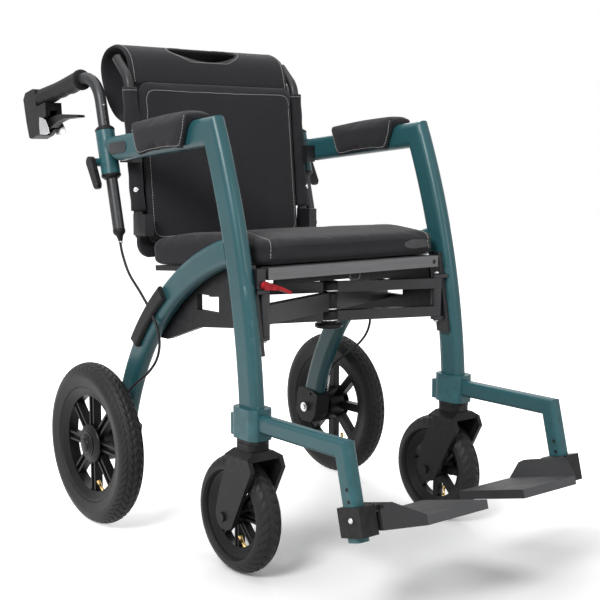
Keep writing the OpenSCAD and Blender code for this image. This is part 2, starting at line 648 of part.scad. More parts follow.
// Footplate: flat plate with a raised outer wall that reaches the hinge
module footplate() color(dark) plate_frame() difference() {
    union() {
        intersection() {
            translate([0, 0, -100]) linear_extrude(200) polygon([
                [plate_hinge_x - plate_len, plate_back - plate_depth], [plate_hinge_x - 42, plate_back - plate_depth],
                [plate_hinge_x, -clamp_front - 2], [plate_hinge_x, clamp_back - 2], [plate_hinge_x - 16, plate_back],
                [plate_hinge_x - plate_len, plate_back]]);
            translate([0, 100, 0]) rotate([90, 0, 0]) linear_extrude(300) polygon([
                [plate_hinge_x - plate_len, plate_top_w - plate_t], [plate_hinge_x, plate_top_w - plate_t],
                [plate_hinge_x, plate_hinge_w], [plate_hinge_x - 7, plate_hinge_w + knuckle_r - 1],
                [plate_hinge_x - 12, plate_hinge_w + knuckle_r - 1], [plate_hinge_x - 44, plate_top_w],
                [plate_hinge_x - plate_len, plate_top_w]]);
        }
        for (v = [[-clamp_front + 3, -14 - side_gap], [10 + side_gap, clamp_back - 3]])
            translate([plate_hinge_x, v[0], plate_hinge_w]) rotate([-90, 0, 0])
                cylinder(h = v[1] - v[0], r = knuckle_r);
    }
    translate([plate_hinge_x - knuckle_r - side_gap, -14 - side_gap, plate_hinge_w - knuckle_r - side_gap])
        cube([2 * knuckle_r + 4, 24 + 2 * side_gap, 3 * knuckle_r]);
    translate([plate_hinge_x, -100, plate_hinge_w]) rotate([-90, 0, 0]) cylinder(h = 200, r = plate_pin_r + run_gap);
}

// Back post: tube with its top bent back, lower box and bracket to the armrest tube
module back_post() color(dark) {
    translate([post_x, 0, 0]) {
        along(post_base, post_dir) cylinder(h = post_len + lap, r = post_r);
        translate([0, post_top[0] + post_bend_r * post_dir[1], post_top[1] - post_bend_r * post_dir[0]]) side_plane()
            rotate([0, 0, 180 - back_lean - 1 - post_bend_turn]) rotate_extrude(angle = post_bend_turn, $fn = 96)
                translate([post_bend_r, 0]) circle(post_r + lap_step);
        translate([0, post_top[0] + post_bend_r * post_dir[1], post_top[1] - post_bend_r * post_dir[0]])
            rotate([-(back_lean + 1 + post_bend_turn), 0, 0]) translate([0, -post_bend_r, -lap])
                cylinder(h = 42 + lap, r = post_r);
        translate([-post_box_w, post_base[0] - 33, post_base[1] + 4]) cube([2 * post_box_w - 1, 42, 40]);
    }
    translate([post_x, -24, sleeve_mid[1] - 18]) cube([frame_in_x - post_x, 44, 34]);
}

// Hinge bracket: strip on the leg's inner face with two lugs and the vertical pin
module hinge_bracket() color(dark) difference() {
    union() {
        side_plate(arm_hinge_x + barrel_r + 1, frame_in_x, [
            [leg_y(512) - 13, 512], [leg_y(366) - 13, 366], [leg_y(366) + 13, 366], [leg_y(512) + 13, 512]]);
        for (z = [low_bar_z[0] - side_gap - lug_t, up_bar_z[1] + side_gap])
            translate([arm_hinge_x, arm_hinge_y, z]) {
                cylinder(h = lug_t, r = barrel_r);
                translate([0, -barrel_r, 0]) cube([frame_in_x - arm_hinge_x, 2 * barrel_r, lug_t]);
            }
        translate([arm_hinge_x, arm_hinge_y, low_bar_z[0] - lug_t]) cylinder(h = up_bar_z[1] - low_bar_z[0] + 2 * lug_t,
            r = arm_pin_r);
    }
    translate([frame_half_w, 0, 0]) leg_arc(corner_angle + 4);
}

// Front hinge of the seat on the left bracket, and the seat's latch block on the right one
module seat_hinge_lug() color(dark) {
    translate([seat_pivot_x, seat_front_y + beam_w + side_gap, seat_pivot_z]) rotate([-90, 0, 0]) cylinder(h = 8, r = 8);
    translate([seat_pivot_x, seat_front_y + beam_w + side_gap, seat_pivot_z - 7]) cube([frame_in_x - seat_pivot_x, 8, 14]);
    translate([seat_pivot_x, seat_front_y + 2, seat_pivot_z]) rotate([-90, 0, 0])
        cylinder(h = beam_w + side_gap + 4, r = seat_pin_r);
}
module seat_latch_block() color(dark) difference() {
    translate([-frame_in_x, seat_front_y, seat_pivot_z - 22]) cube([frame_in_x + beam_right_x - 6, beam_w, 32]);
    translate([latch_pivot[0], seat_front_y - 1, latch_pivot[1]]) rotate([-90, 0, 0]) cylinder(h = 40, r = latch_r + run_gap);
}

// One bar of a cross arm from its hinge, past the centre, to its rear end
module arm_bar(z, l) translate([0, -arm_t / 2, z[0]]) cube([l, arm_t, z[1] - z[0]]);

// Local frame of each cross arm: X along the arm from its front hinge
module single_arm_frame() translate([-arm_hinge_x, arm_hinge_y, 0]) rotate([0, 0, arm_angle]) children();
module double_arm_frame() translate([arm_hinge_x, arm_hinge_y, 0]) rotate([0, 0, 180 - arm_angle]) children();

// Cross arm with one middle bar, hinged on the right frame
module cross_arm_single() color(dark) place() single_arm_frame() difference() {
    union() {
        arm_bar(mid_bar_z, 2 * arm_half);
        translate([2 * arm_half, 0, mid_bar_z[0]]) cylinder(h = mid_bar_z[1] - mid_bar_z[0], r = arm_t / 2);
        translate([0, 0, low_bar_z[0]]) cylinder(h = up_bar_z[1] - low_bar_z[0], r = barrel_r);
    }
    translate([0, 0, 0]) cylinder(h = 800, r = arm_pin_r + run_gap);
    translate([arm_half, 0, 0]) cylinder(h = 800, r = centre_pin_r);
}

// Cross arm with an upper and a lower bar, hinged on the left frame
module cross_arm_double() color(dark) place() double_arm_frame() difference() {
    union() {
        for (z = [up_bar_z, low_bar_z]) {
            arm_bar(z, 2 * arm_half);
            translate([2 * arm_half, 0, z[0]]) cylinder(h = z[1] - z[0], r = arm_t / 2);
        }
        translate([0, 0, low_bar_z[0]]) cylinder(h = up_bar_z[1] - low_bar_z[0], r = barrel_r);
    }
    translate([0, 0, 0]) cylinder(h = 800, r = arm_pin_r + run_gap);
    translate([arm_half, 0, 0]) cylinder(h = 800, r = centre_pin_r + run_gap);
}

// Centre pin with its lower foot and upper head, fixed in the single arm
module centre_pin() color(steel) place() translate([0, arm_centre_y, 0]) {
    translate([0, 0, low_bar_z[0] - 12]) cylinder(h = up_bar_z[1] + 4 - low_bar_z[0] + 12, r = centre_pin_r);
    translate([0, 0, low_bar_z[0] - 12]) cylinder(h = 12 - side_gap, r = 13);
    translate([0, 0, up_bar_z[1] + side_gap]) cylinder(h = 4, r = 9);
}

// Seat beam: front cross bar, hinged at its left end
module seat_beam() color(dark) place() difference() {
    translate([beam_right_x, seat_front_y, seat_pivot_z + 11 - beam_h]) cube([beam_left_x - beam_right_x, beam_w, beam_h]);
    translate([seat_pivot_x, seat_front_y - 1, seat_pivot_z]) rotate([-90, 0, 0])
        cylinder(h = beam_w + 2, r = seat_pin_r + run_gap);
}

// Local frame of the seat: X sideways, Y back along the tilted seat, Z up from the beam's rear top edge
seat_o = [seat_front_y + beam_w, seat_pivot_z + 11];
module seat_frame() place() translate([0, seat_o[0], seat_o[1]]) rotate([-seat_tilt, 0, 0]) children();

// Seat pan: thin board behind the beam, with a stiffening rib under its front
pan_rib = [7, 22];
module seat_pan() color(dark) difference() {
    seat_frame() {
        translate([beam_right_x + 10, pan_t * sin(seat_tilt) + 0.3, -pan_t])
            cube([beam_left_x - beam_right_x - 11, pan_len, pan_t]);
        translate([beam_right_x + 40, 14, -pan_t - pan_rib[1]])
            cube([seat_pivot_x - beam_right_x - 62, pan_rib[0], pan_rib[1] + 1]);
    }
    place() translate([seat_pivot_x - 10, seat_front_y + beam_w - 1, seat_pivot_z - 11]) cube([30, 11, 40]);
}

// Closed skin over rings of equal point counts, from the bottom ring to the top ring
module ring_skin(rings) {
    m = len(rings[0]);
    n = len(rings);
    mean = function (ring) [for (k = [0 : 2]) [for (p = ring) p[k]] * [for (p = ring) 1] / m];
    points = concat([for (r = rings) each r], [mean(rings[0]), mean(rings[n - 1])]);
    walls = [for (i = [0 : n - 2], k = [0 : m - 1]) let (a = i * m + k, b = i * m + (k + 1) % m)
        each [[a, a + m, b], [b, a + m, b + m]]];
    floor_fan = [for (k = [0 : m - 1]) [n * m, k, (k + 1) % m]];
    top_fan = [for (k = [0 : m - 1]) [n * m + 1, (n - 1) * m + (k + 1) % m, (n - 1) * m + k]];
    polyhedron(points, concat(walls, floor_fan, top_fan));
}

// Rounded rectangle ring of half sizes a and b at height z
function pad_ring(a, b, r, z, steps) = [for (q = [0 : 3], k = [0 : steps]) let (
    sx = (q == 0 || q == 3) ? 1 : -1, sy = q < 2 ? 1 : -1, t = 90 * q + 90 * k / steps)
    [sx * (a - r) + r * cos(t), sy * (b - r) + r * sin(t), z]];

// Lifts the points of a ring by a crown that is highest in the middle of a pad of half sizes a and b
function crowned(ring, a, b, h) = [for (p = ring)
    [p[0], p[1], p[2] + h * (1 - pow(abs(p[0] / a), 2.5)) * (1 - pow(abs(p[1] / b), 2.5))]];

// Rings of a pad with drawn-in edges and a crowned top: half sizes a and b, corner radius r, side height t
function pad_rings(a, b, r, t, crown) = concat(
    [for (s = [[9, 0], [2, 0.12], [0, 0.28], [1.5, 0.5], [0, 0.76], [4, 0.93]])
        pad_ring(a - s[0], b - s[0], r - 0.5 * s[0], s[1] * t, 6)],
    [for (s = [0.05, 0.13, 0.25, 0.4, 0.55, 0.7, 0.85])
        crowned(pad_ring(a * (1 - s), b * (1 - s), r * (1 - s), t, 6), a, b, crown)]);

// Seat cushion: drawn-in sides and a crown
cushion_half_w = frame_half_w - 27;
cushion_len = 358;
module seat_cushion() color(cloth) seat_frame() translate([0, cushion_len / 2 - 14, side_gap])
    ring_skin(pad_rings(cushion_half_w, cushion_len / 2, 26, cushion_t, cushion_crown));

// Seat latch: red lever on the right bracket's block
module seat_latch() color(red) place() {
    translate([latch_pivot[0], seat_front_y - side_gap, latch_pivot[1]]) rotate([90, 0, 0]) linear_extrude(7) union() {
        circle(7);
        polygon([[-3, 6], [8, 4], [30, -3], [50, -12], [52, -16], [49, -17], [28, -9], [-2, -6.5]]);
    }
    translate([latch_pivot[0], seat_front_y - side_gap - 2, latch_pivot[1]]) rotate([-90, 0, 0]) cylinder(h = 18, r = latch_r);
}

// Local frame of the backrest: X sideways, Y up along the panel, Z back
module back_frame() place() translate([0, back_base[0], back_base[1]]) rotate([90 - back_lean, 0, 0]) mirror([0, 0, 1])
    children();

// Back panel: padded sling between the posts, with drawn-in edges
module back_panel() color(cloth) back_frame() translate([0, back_h / 2, back_t]) mirror([0, 0, 1])
    ring_skin(pad_rings(post_x - post_box_w - side_gap, back_h / 2, 24, back_t, 5));

// Head flap: sling over the bent post tops, open at both ends, with a hand hole in its ridge
flap_half_w = post_x - post_r - side_gap;
hand_hole = [80, 24];
hand_hole_y = 68;
module head_flap() color(cloth) place() difference() {
    side_plate(-flap_half_w, flap_half_w, [
        [29, 832], [35, 859], [46, 880], [64, 894], [90, 901], [115, 898], [134, 888], [146, 871], [147, 848],
        [137, 818], [119, 788], [94, 763], [66, 750],
        [62, 756], [90, 769], [114, 792], [131, 821], [140, 848], [139, 868], [129, 882], [113, 891], [90, 894],
        [67, 887], [51, 876], [41, 857], [35, 831]]);
    translate([0, hand_hole_y, 850]) scale([1, hand_hole[1] / hand_hole[0], 1]) cylinder(h = 80, r = hand_hole[0]);
}

// Bag hung behind the posts
bag_t = 27;
bag_front = 22.4;
bag_low = -27;
bag_high = 225;
module back_bag() color(cloth) back_frame() translate([0, (bag_low + bag_high) / 2, bag_front])
    ring_skin(pad_rings(post_x - 1, (bag_high - bag_low) / 2, 30, bag_t, 6));

// Sub-parts by name
on_left() front_tube();  // front_tube_left
on_right() front_tube();  // front_tube_right
on_left() rear_leg();  // rear_leg_left
on_right() rear_leg();  // rear_leg_right
on_left() armrest_pad();  // armrest_pad_left
on_right() armrest_pad();  // armrest_pad_right
on_left() handle_tube();  // handle_tube_left
on_right() handle_tube();  // handle_tube_right
on_left() grip();  // grip_left
on_right() grip();  // grip_right
on_left() brake_housing();  // brake_housing_left
on_right() brake_housing();  // brake_housing_right
on_left() brake_lever();  // brake_lever_left
on_right() brake_lever();  // brake_lever_right
on_left() clamp_lever();  // clamp_lever_left
on_right() clamp_lever();  // clamp_lever_right
on_left() brake_cable();  // brake_cable_left
on_right() brake_cable();  // brake_cable_right
on_left() cable_cover();  // cable_cover_left
on_right() cable_cover();  // cable_cover_right
on_left() side_fairing();  // side_fairing_left
union() {  // side_fairing_right
    on_right() side_fairing();
    seat_ledge();
}
on_left() axle_bracket();  // axle_bracket_left
on_right() axle_bracket();  // axle_bracket_right
on_left() rear_axle();  // rear_axle_left
on_right() rear_axle();  // rear_axle_right
on_left() brake_arm();  // brake_arm_left
on_right() brake_arm();  // brake_arm_right
on_left() rear_rim();  // rear_rim_left
on_right() rear_rim();  // rear_rim_right
on_left() rear_tyre();  // rear_tyre_left
on_right() rear_tyre();  // rear_tyre_right
on_left() caster_head();  // caster_head_left
on_right() caster_head();  // caster_head_right
on_left() caster_fork();  // caster_fork_left
on_right() caster_fork();  // caster_fork_right
on_left() front_rim();  // front_rim_left
on_right() front_rim();  // front_rim_right
on_left() front_tyre();  // front_tyre_left
on_right() front_tyre();  // front_tyre_right
on_left() footrest_tube();  // footrest_tube_left
on_right() footrest_tube();  // footrest_tube_right
on_left() footplate_clamp();  // footplate_clamp_left
on_right() footplate_clamp();  // footplate_clamp_right
on_left() footplate();  // footplate_left
on_right() footplate();  // footplate_right
on_left() back_post();  // back_post_left
on_right() back_post();  // back_post_right
union() {  // hinge_bracket_left
    on_left() hinge_bracket();
    place() seat_hinge_lug();
}
union() {  // hinge_bracket_right
    on_right() hinge_bracket();
    place() seat_latch_block();
}
cross_arm_single();
cross_arm_double();
centre_pin();
seat_beam();
seat_pan();
seat_cushion();
seat_latch();
back_panel();
head_flap();
back_bag();
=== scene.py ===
"""Looks of a folding rollator transport chair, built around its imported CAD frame."""

import json
import logging
import math
from dataclasses import dataclass
from enum import Enum
from typing import Iterable, Sequence, Union

import bmesh
import bpy
import numpy as np
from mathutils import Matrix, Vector
from mathutils.bvhtree import BVHTree


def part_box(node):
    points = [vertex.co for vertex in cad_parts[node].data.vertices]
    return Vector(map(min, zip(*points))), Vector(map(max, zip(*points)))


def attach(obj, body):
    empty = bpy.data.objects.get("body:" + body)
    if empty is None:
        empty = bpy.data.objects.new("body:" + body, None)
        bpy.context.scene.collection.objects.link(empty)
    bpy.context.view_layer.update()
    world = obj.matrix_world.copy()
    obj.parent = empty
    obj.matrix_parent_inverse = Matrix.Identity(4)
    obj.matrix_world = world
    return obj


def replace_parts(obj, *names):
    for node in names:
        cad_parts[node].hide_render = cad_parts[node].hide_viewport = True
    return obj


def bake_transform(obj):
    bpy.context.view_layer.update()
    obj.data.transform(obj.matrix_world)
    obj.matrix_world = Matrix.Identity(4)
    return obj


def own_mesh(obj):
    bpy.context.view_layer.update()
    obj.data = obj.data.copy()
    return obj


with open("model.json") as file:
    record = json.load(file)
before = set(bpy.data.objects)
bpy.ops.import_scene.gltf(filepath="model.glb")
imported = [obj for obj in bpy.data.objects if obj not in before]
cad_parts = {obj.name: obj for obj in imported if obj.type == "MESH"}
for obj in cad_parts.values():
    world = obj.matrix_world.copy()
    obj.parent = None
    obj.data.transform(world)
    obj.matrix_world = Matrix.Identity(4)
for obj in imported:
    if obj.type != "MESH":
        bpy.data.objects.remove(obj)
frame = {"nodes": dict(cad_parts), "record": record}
log = logging.getLogger("transport_chair")

Colour = tuple[float, float, float]
Point = tuple[float, float, float]
Number = Union["Sock", float]
Pair = tuple[float, float]
Profile = Sequence[Pair]
Line = Sequence[Vector]

# Metres in a millimetre, and millimetres in a metre
MM = 0.001
PER_M = 1000.0
# Middle of the side frames' tubes, across from the middle of the chair, in millimetres
HALF_W = 232.0


class Sock:
    """One output of a shader graph that takes part in Python arithmetic."""

    def __init__(self, graph: "Graph", socket: bpy.types.NodeSocket) -> None:
        """Keeps the graph and the socket that later maths nodes link to."""
        self.graph = graph
        self.socket = socket

    def _math(self, operation: str, left: Number, right: Number = 0.0) -> "Sock":
        """Adds one Math node for an operation on two values."""
        return self.graph.out("ShaderNodeMath", {"operation": operation}, {0: left, 1: right})

    def __add__(self, other: Number) -> "Sock":
        """Sum of two values."""
        return self._math("ADD", self, other)

    def __radd__(self, other: Number) -> "Sock":
        """Sum with the number on the left."""
        return self._math("ADD", other, self)

    def __sub__(self, other: Number) -> "Sock":
        """Difference of two values."""
        return self._math("SUBTRACT", self, other)

    def __rsub__(self, other: Number) -> "Sock":
        """Difference with the number on the left."""
        return self._math("SUBTRACT", other, self)

    def __mul__(self, other: Number) -> "Sock":
        """Product of two values."""
        return self._math("MULTIPLY", self, other)

    def __rmul__(self, other: Number) -> "Sock":
        """Product with the number on the left."""
        return self._math("MULTIPLY", other, self)

    def __abs__(self) -> "Sock":
        """Magnitude of a value."""
        return self._math("ABSOLUTE", self)

    def sin(self) -> "Sock":
        """Sine of a value in radians."""
        return self._math("SINE", self)

    def hypot(self, other: "Sock") -> "Sock":
        """Length of the vector with these two legs."""
        return self._math("SQRT", self * self + other * other)

    def smooth(self, low: float, high: float) -> "Sock":
        """Soft step that rises from zero at low to one at high."""
        kind = {"interpolation_type": "SMOOTHSTEP"}
        return self.graph.out("ShaderNodeMapRange", kind, {0: self, 1: low, 2: high})


class Graph:
    """A material or world under construction, with one way to make any node."""

    def __init__(self, owner: bpy.types.Material | bpy.types.World) -> None:
        """Empties the owner's node tree.

        Args:
            owner: material or world that the nodes go into.
        """
        self.owner = owner
        owner.use_nodes = True
        self.tree = owner.node_tree
        self.tree.nodes.clear()
        self._place: Sock | None = None

    def node(self, kind: str, settings: dict | None = None, inputs: dict | None = None) -> bpy.types.Node:
        """Makes a node, sets it up and fills or links its sockets.

        Args:
            kind: Blender's type name of the node.
            settings: attributes, set first.
            inputs: socket name or number to a value or a Sock.

        Returns:
            The new node.
        """
        made = self.tree.nodes.new(kind)
        for key, value in (settings or {}).items():
            setattr(made, key, value)
        for key, value in (inputs or {}).items():
            if isinstance(value, Sock):
                self.tree.links.new(value.socket, made.inputs[key])
            else:
                made.inputs[key].default_value = value
        return made

    def out(
        self, kind: str, settings: dict | None = None, inputs: dict | None = None, output: int | str = 0
    ) -> Sock:
        """Makes a node as node() does and returns one of its outputs."""
        return Sock(self, self.node(kind, settings, inputs).outputs[output])

    @property
    def place(self) -> Sock:
        """Point on the piece in its own frame, in metres."""
        if self._place is None:
            self._place = self.out("ShaderNodeTexCoord", output="Object")
        return self._place

    def axes(self, vector: Sock) -> tuple[Sock, Sock, Sock]:
        """The X, Y and Z values of a vector."""
        split = self.node("ShaderNodeSeparateXYZ", None, {0: vector})
        return tuple(Sock(self, split.outputs[i]) for i in range(3))

    def stretched(self, scale: Point) -> Sock:
        """The piece's own point with each axis scaled apart."""
        return self.out("ShaderNodeVectorMath", {"operation": "MULTIPLY"}, {0: self.place, 1: scale})

    def noise(self, scale: float, detail: float = 2.0, at: Sock | None = None) -> Sock:
        """Cloudy value around a half, with blobs of about 1 / scale metres."""
        inputs = {"Vector": at or self.place, "Scale": scale, "Detail": detail}
        return self.out("ShaderNodeTexNoise", None, inputs)

    def cells(self, scale: float, at: Sock | None = None) -> Sock:
        """Distance to the nearest of many scattered points."""
        return self.out("ShaderNodeTexVoronoi", None, {"Vector": at or self.place, "Scale": scale})

    def edge(self) -> Sock:
        """Value that is high on outer edges and low in grooves."""
        return self.out("ShaderNodeNewGeometry", output="Pointiness")

    def mix(self, factor: Number, first: Sock | Colour, second: Sock | Colour) -> Sock:
        """Colour between two colours.

        Args:
            factor: zero for the first colour, one for the second.
            first: a colour or a Sock.
            second: a colour or a Sock.

        Returns:
            The mixed colour.
        """
        pair = [c if isinstance(c, Sock) else (*c, 1.0) for c in (first, second)]
        inputs = {0: factor, 6: pair[0], 7: pair[1]}
        return self.out("ShaderNodeMix", {"data_type": "RGBA"}, inputs, output=2)

    def bump(self, height: Sock, depth: float, strength: float = 1.0, under: Sock | None = None) -> Sock:
        """Normal of a surface with a relief.

        Args:
            height: value from zero to one.
            depth: height of the relief in metres.
            strength: share of the relief that shows.
            under: normal that it is laid on, if any.

        Returns:
            The new normal.
        """
        inputs = {"Height": height, "Distance": depth, "Strength": strength}
        if under is not None:
            inputs["Normal"] = under
        return self.out("ShaderNodeBump", None, inputs)

    def finish(self, fixed: dict | None = None, **varying: Number | Colour) -> bpy.types.Material:
        """Ends the graph in one Principled shader.

        Args:
            fixed: constants for sockets named as in Blender.
            varying: base, roughness, metallic or normal, as a Sock or a constant.

        Returns:
            The finished material.
        """
        names = {"base": "Base Color", "roughness": "Roughness", "metallic": "Metallic", "normal": "Normal"}
        inputs = dict(fixed or {})
        for key, value in varying.items():
            inputs[names[key]] = (*value, 1.0) if isinstance(value, tuple) else value
        shader = self.out("ShaderNodeBsdfPrincipled", None, inputs)
        self.node("ShaderNodeOutputMaterial", None, {"Surface": shader})
        return self.owner

    def seen(self) -> Sock:
        """Tells what is looked at from what only throws light on the object.

        Returns:
            One for rays from the camera, mirrors or glass, and zero for others.
        """
        path = self.node("ShaderNodeLightPath")
        rays = [Sock(self, path.outputs[f"Is {kind} Ray"]) for kind in ("Camera", "Glossy", "Transmission")]
        return self._clamped(rays[0] + rays[1] + rays[2])

    def _clamped(self, value: Sock) -> Sock:
        """A value kept at one or less."""
        return self.out("ShaderNodeMath", {"operation": "MINIMUM"}, {0: value, 1: 1.0})


def shade(colour: Colour, factor: float) -> Colour:
    """A colour made lighter or darker by a factor."""
    return tuple(min(1.0, c * factor) for c in colour)


@dataclass(frozen=True)
class Finish:
    """Base of the finishes: a named material round one colour."""

    name: str
    colour: Colour

    def graph(self) -> Graph:
        """An empty graph for the material."""
        return Graph(bpy.data.materials.new(self.name))

    def tint(self, g: Graph, value: Sock, span: Pair, dark: float, light: float) -> Sock:
        """The colour between a darker and a lighter shade, as a value passes a span."""
        return g.mix(value.smooth(*span), shade(self.colour, dark), shade(self.colour, light))


@dataclass(frozen=True)
class PowderCoat(Finish):
    """Satin paint baked on metal, with a fine orange peel and rubbed edges."""

    roughness: float = 0.36
    peel: float = 0.00012

    def make(self) -> bpy.types.Material:
        """Builds the paint.

        Returns:
            The finished material.
        """
        g = self.graph()
        cloud = g.noise(9.0, 3.0)
        tint = self.tint(g, cloud, (0.3, 0.7), 0.93, 1.07)
        rubbed = g.edge().smooth(0.53, 0.62) * g.noise(60.0).smooth(0.35, 0.65)
        base = g.mix(rubbed * 0.35, tint, shade(self.colour, 1.9))
        rough = self.roughness + (g.noise(35.0, 4.0) - 0.5) * 0.12
        normal = g.bump(g.noise(620.0, 1.0), self.peel, 0.5)
        fixed = {"Coat Weight": 0.08, "Coat Roughness": 0.2, "Specular IOR Level": 0.32}
        return g.finish(fixed, base=base, roughness=rough, normal=normal)


@dataclass(frozen=True)
class MouldedPlastic(Finish):
    """Black or grey moulding with a spark-eroded grain and paler scuffs on its edges."""

    roughness: float = 0.5
    grain: float = 900.0
    depth: float = 0.00016

    def make(self) -> bpy.types.Material:
        """Builds the plastic.

        Returns:
            The finished material.
        """
        g = self.graph()
        cloud = g.noise(14.0, 3.0)
        tint = self.tint(g, cloud, (0.25, 0.75), 0.85, 1.18)
        scuff = g.edge().smooth(0.52, 0.6) * g.noise(90.0, 3.0).smooth(0.4, 0.62)
        base = g.mix(scuff * 0.4, tint, shade(self.colour, 2.6))
        rough = self.roughness + (g.noise(120.0, 3.0) - 0.5) * 0.18
        normal = g.bump(g.cells(self.grain), self.depth, 0.35)
        return g.finish({"Specular IOR Level": 0.17}, base=base, roughness=rough, normal=normal)


@dataclass(frozen=True)
class DrawnMetal(Finish):
    """Anodised or plated metal with faint drawing lines along one axis."""

    roughness: float = 0.34
    metallic: float = 1.0
    lines: Point = (900.0, 900.0, 12.0)

    def make(self) -> bpy.types.Material:
        """Builds the metal.

        Returns:
            The finished material.
        """
        g = self.graph()
        drawn = g.noise(1.0, 2.0, g.stretched(self.lines))
        cloud = g.noise(18.0, 2.0)
        base = self.tint(g, drawn, (0.2, 0.8), 0.82, 1.15)
        rough = self.roughness + (cloud - 0.5) * 0.2 + (drawn - 0.5) * 0.12
        normal = g.bump(drawn, 0.00003, 0.4)
        return g.finish(base=base, roughness=rough, metallic=self.metallic, normal=normal)


@dataclass(frozen=True)
class WovenCloth(Finish):
    """Close charcoal weave: over-and-under yarns with painted shade between them, flecked, with a soft sheen.
    """

    pitch: float = 0.0016
    relief: float = 0.00022

    def weave(self, g: Graph) -> Sock:
        """Height of the yarns, laid on each face by the way that it points.

        Args:
            g: graph that the nodes go into.

        Returns:
            Value from zero between the yarns to one on their crowns.
        """
        turn = 2.0 * math.pi / self.pitch
        x, y, z = ((value * turn).sin() for value in g.axes(g.place))
        facing = g.out("ShaderNodeTexCoord", output="Normal")
        across, along, up = (abs(value) for value in g.axes(facing))
        return 0.5 + 0.5 * (across * (y * z) + along * (x * z) + up * (x * y))

    def make(self) -> bpy.types.Material:
        """Builds the cloth.

        Returns:
            The finished material.
        """
        g = self.graph()
        yarn = self.weave(g)
        fleck = g.noise(1.0, 3.0, g.stretched((260.0, 700.0, 700.0)))
        cloud = g.noise(11.0, 3.0)
        tint = self.tint(g, cloud, (0.25, 0.75), 0.9, 1.12)
        flecked = g.mix(fleck.smooth(0.35, 0.7) * 0.55, tint, shade(self.colour, 1.75))
        # Painted shade: the colour darkens where the yarns are low, in the gaps of the weave
        base = g.mix(yarn.smooth(0.1, 0.75), shade(self.colour, 0.55), flecked)
        rough = 0.84 + (fleck - 0.5) * 0.16
        woven = g.bump(yarn, self.relief, 0.55)
        normal = g.bump(g.noise(55.0, 3.0), 0.0009, 0.22, woven)
        fixed = {"Sheen Weight": 0.14, "Sheen Roughness": 0.5, "Specular IOR Level": 0.1}
        return g.finish(fixed, base=base, roughness=rough, normal=normal)


@dataclass(frozen=True)
class SewnThread(Finish):
    """Pale twisted thread."""

    def make(self) -> bpy.types.Material:
        """Builds the thread.

        Returns:
            The finished material.
        """
        g = self.graph()
        ply = g.noise(1500.0, 2.0)
        base = self.tint(g, ply, (0.3, 0.7), 0.7, 1.15)
        rough = 0.8 + (ply - 0.5) * 0.1
        return g.finish({"Sheen Weight": 0.3}, base=base, roughness=rough, normal=g.bump(ply, 0.0002))


@dataclass(frozen=True)
class SoftRubber(Finish):
    """Matt rubber with dust in its pores and a slight bloom."""

    roughness: float = 0.66
    bloom: float = 1.9

    def make(self) -> bpy.types.Material:
        """Builds the rubber.

        Returns:
            The finished material.
        """
        g = self.graph()
        cloud = g.noise(22.0, 4.0)
        dust = g.noise(240.0, 3.0).smooth(0.5, 0.75) * cloud.smooth(0.4, 0.7)
        tint = self.tint(g, cloud, (0.3, 0.7), 0.85, 1.2)
        base = g.mix(dust * 0.45, tint, shade(self.colour, self.bloom))
        rough = self.roughness + (cloud - 0.5) * 0.2
        normal = g.bump(g.noise(800.0, 2.0), 0.00012, 0.5)
        return g.finish({"Specular IOR Level": 0.22}, base=base, roughness=rough, normal=normal)


@dataclass(frozen=True)
class TreadPlate(Finish):
    """Footplate moulding: a pimpled tread on top, and front faces made paler by a painted highlight."""

    # Paler colour that the front faces take: a painted highlight
    front_highlight_colour: Colour
    lean: float = math.radians(14.0)

    def make(self) -> bpy.types.Material:
        """Builds the tread.

        Returns:
            The finished material.
        """
        g = self.graph()
        facing = g.out("ShaderNodeTexCoord", output="Normal")
        _, along, up = g.axes(facing)
        # Painted highlight: faces turned to the front take a paler colour, as if lit from the front
        front = (along * -math.cos(self.lean) + up * math.sin(self.lean)).smooth(0.8, 0.95)
        top = (along * math.sin(self.lean) + up * math.cos(self.lean)).smooth(0.85, 0.97)
        cloud = g.noise(30.0, 4.0)
        tint = self.tint(g, cloud, (0.3, 0.7), 0.85, 1.2)
        worn = g.mix(top * g.noise(16.0, 5.0).smooth(0.45, 0.75) * 0.4, tint, shade(self.colour, 2.2))
        scuff = g.edge().smooth(0.52, 0.6) * 0.4
        base = g.mix(scuff, g.mix(front, worn, self.front_highlight_colour), shade(self.colour, 3.0))
        pimples = 1.0 - g.cells(170.0).smooth(0.15, 0.5)
        grained = g.bump(g.cells(900.0), 0.00014, 0.35)
        normal = g.bump(pimples * top, 0.0005, 0.6, grained)
        rough = 0.52 + (cloud - 0.5) * 0.2
        return g.finish({"Specular IOR Level": 0.26}, base=base, roughness=rough, normal=normal)


class Side(Enum):
    """The two sides of the chair, as the sitter names them."""

    LEFT = "left"
    RIGHT = "right"

    @property
    def sign(self) -> int:
        """Plus one on the sitter's left, where X is positive."""
        return 1 if self is Side.LEFT else -1

    @property
    def x(self) -> float:
        """How far across the side frame's tubes stand, in millimetres."""
        return self.sign * HALF_W


class End(Enum):
    """The two pairs of wheels."""

    REAR = "rear"
    FRONT = "front"


@dataclass(frozen=True)
class Gauge:
    """Measuring frame of the chair: millimetres from the middle, the rear axle and the floor."""

    axle_y: float

    @classmethod
    def of_frame(cls) -> "Gauge":
        """Reads the rear axle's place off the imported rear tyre."""
        low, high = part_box("rear_tyre_left")
        return cls((low.y + high.y) / 2)

    def at(self, x: float, y: float, z: float) -> Vector:
        """The point in the row frame, in metres."""
        return Vector((x * MM, y * MM + self.axle_y, z * MM))


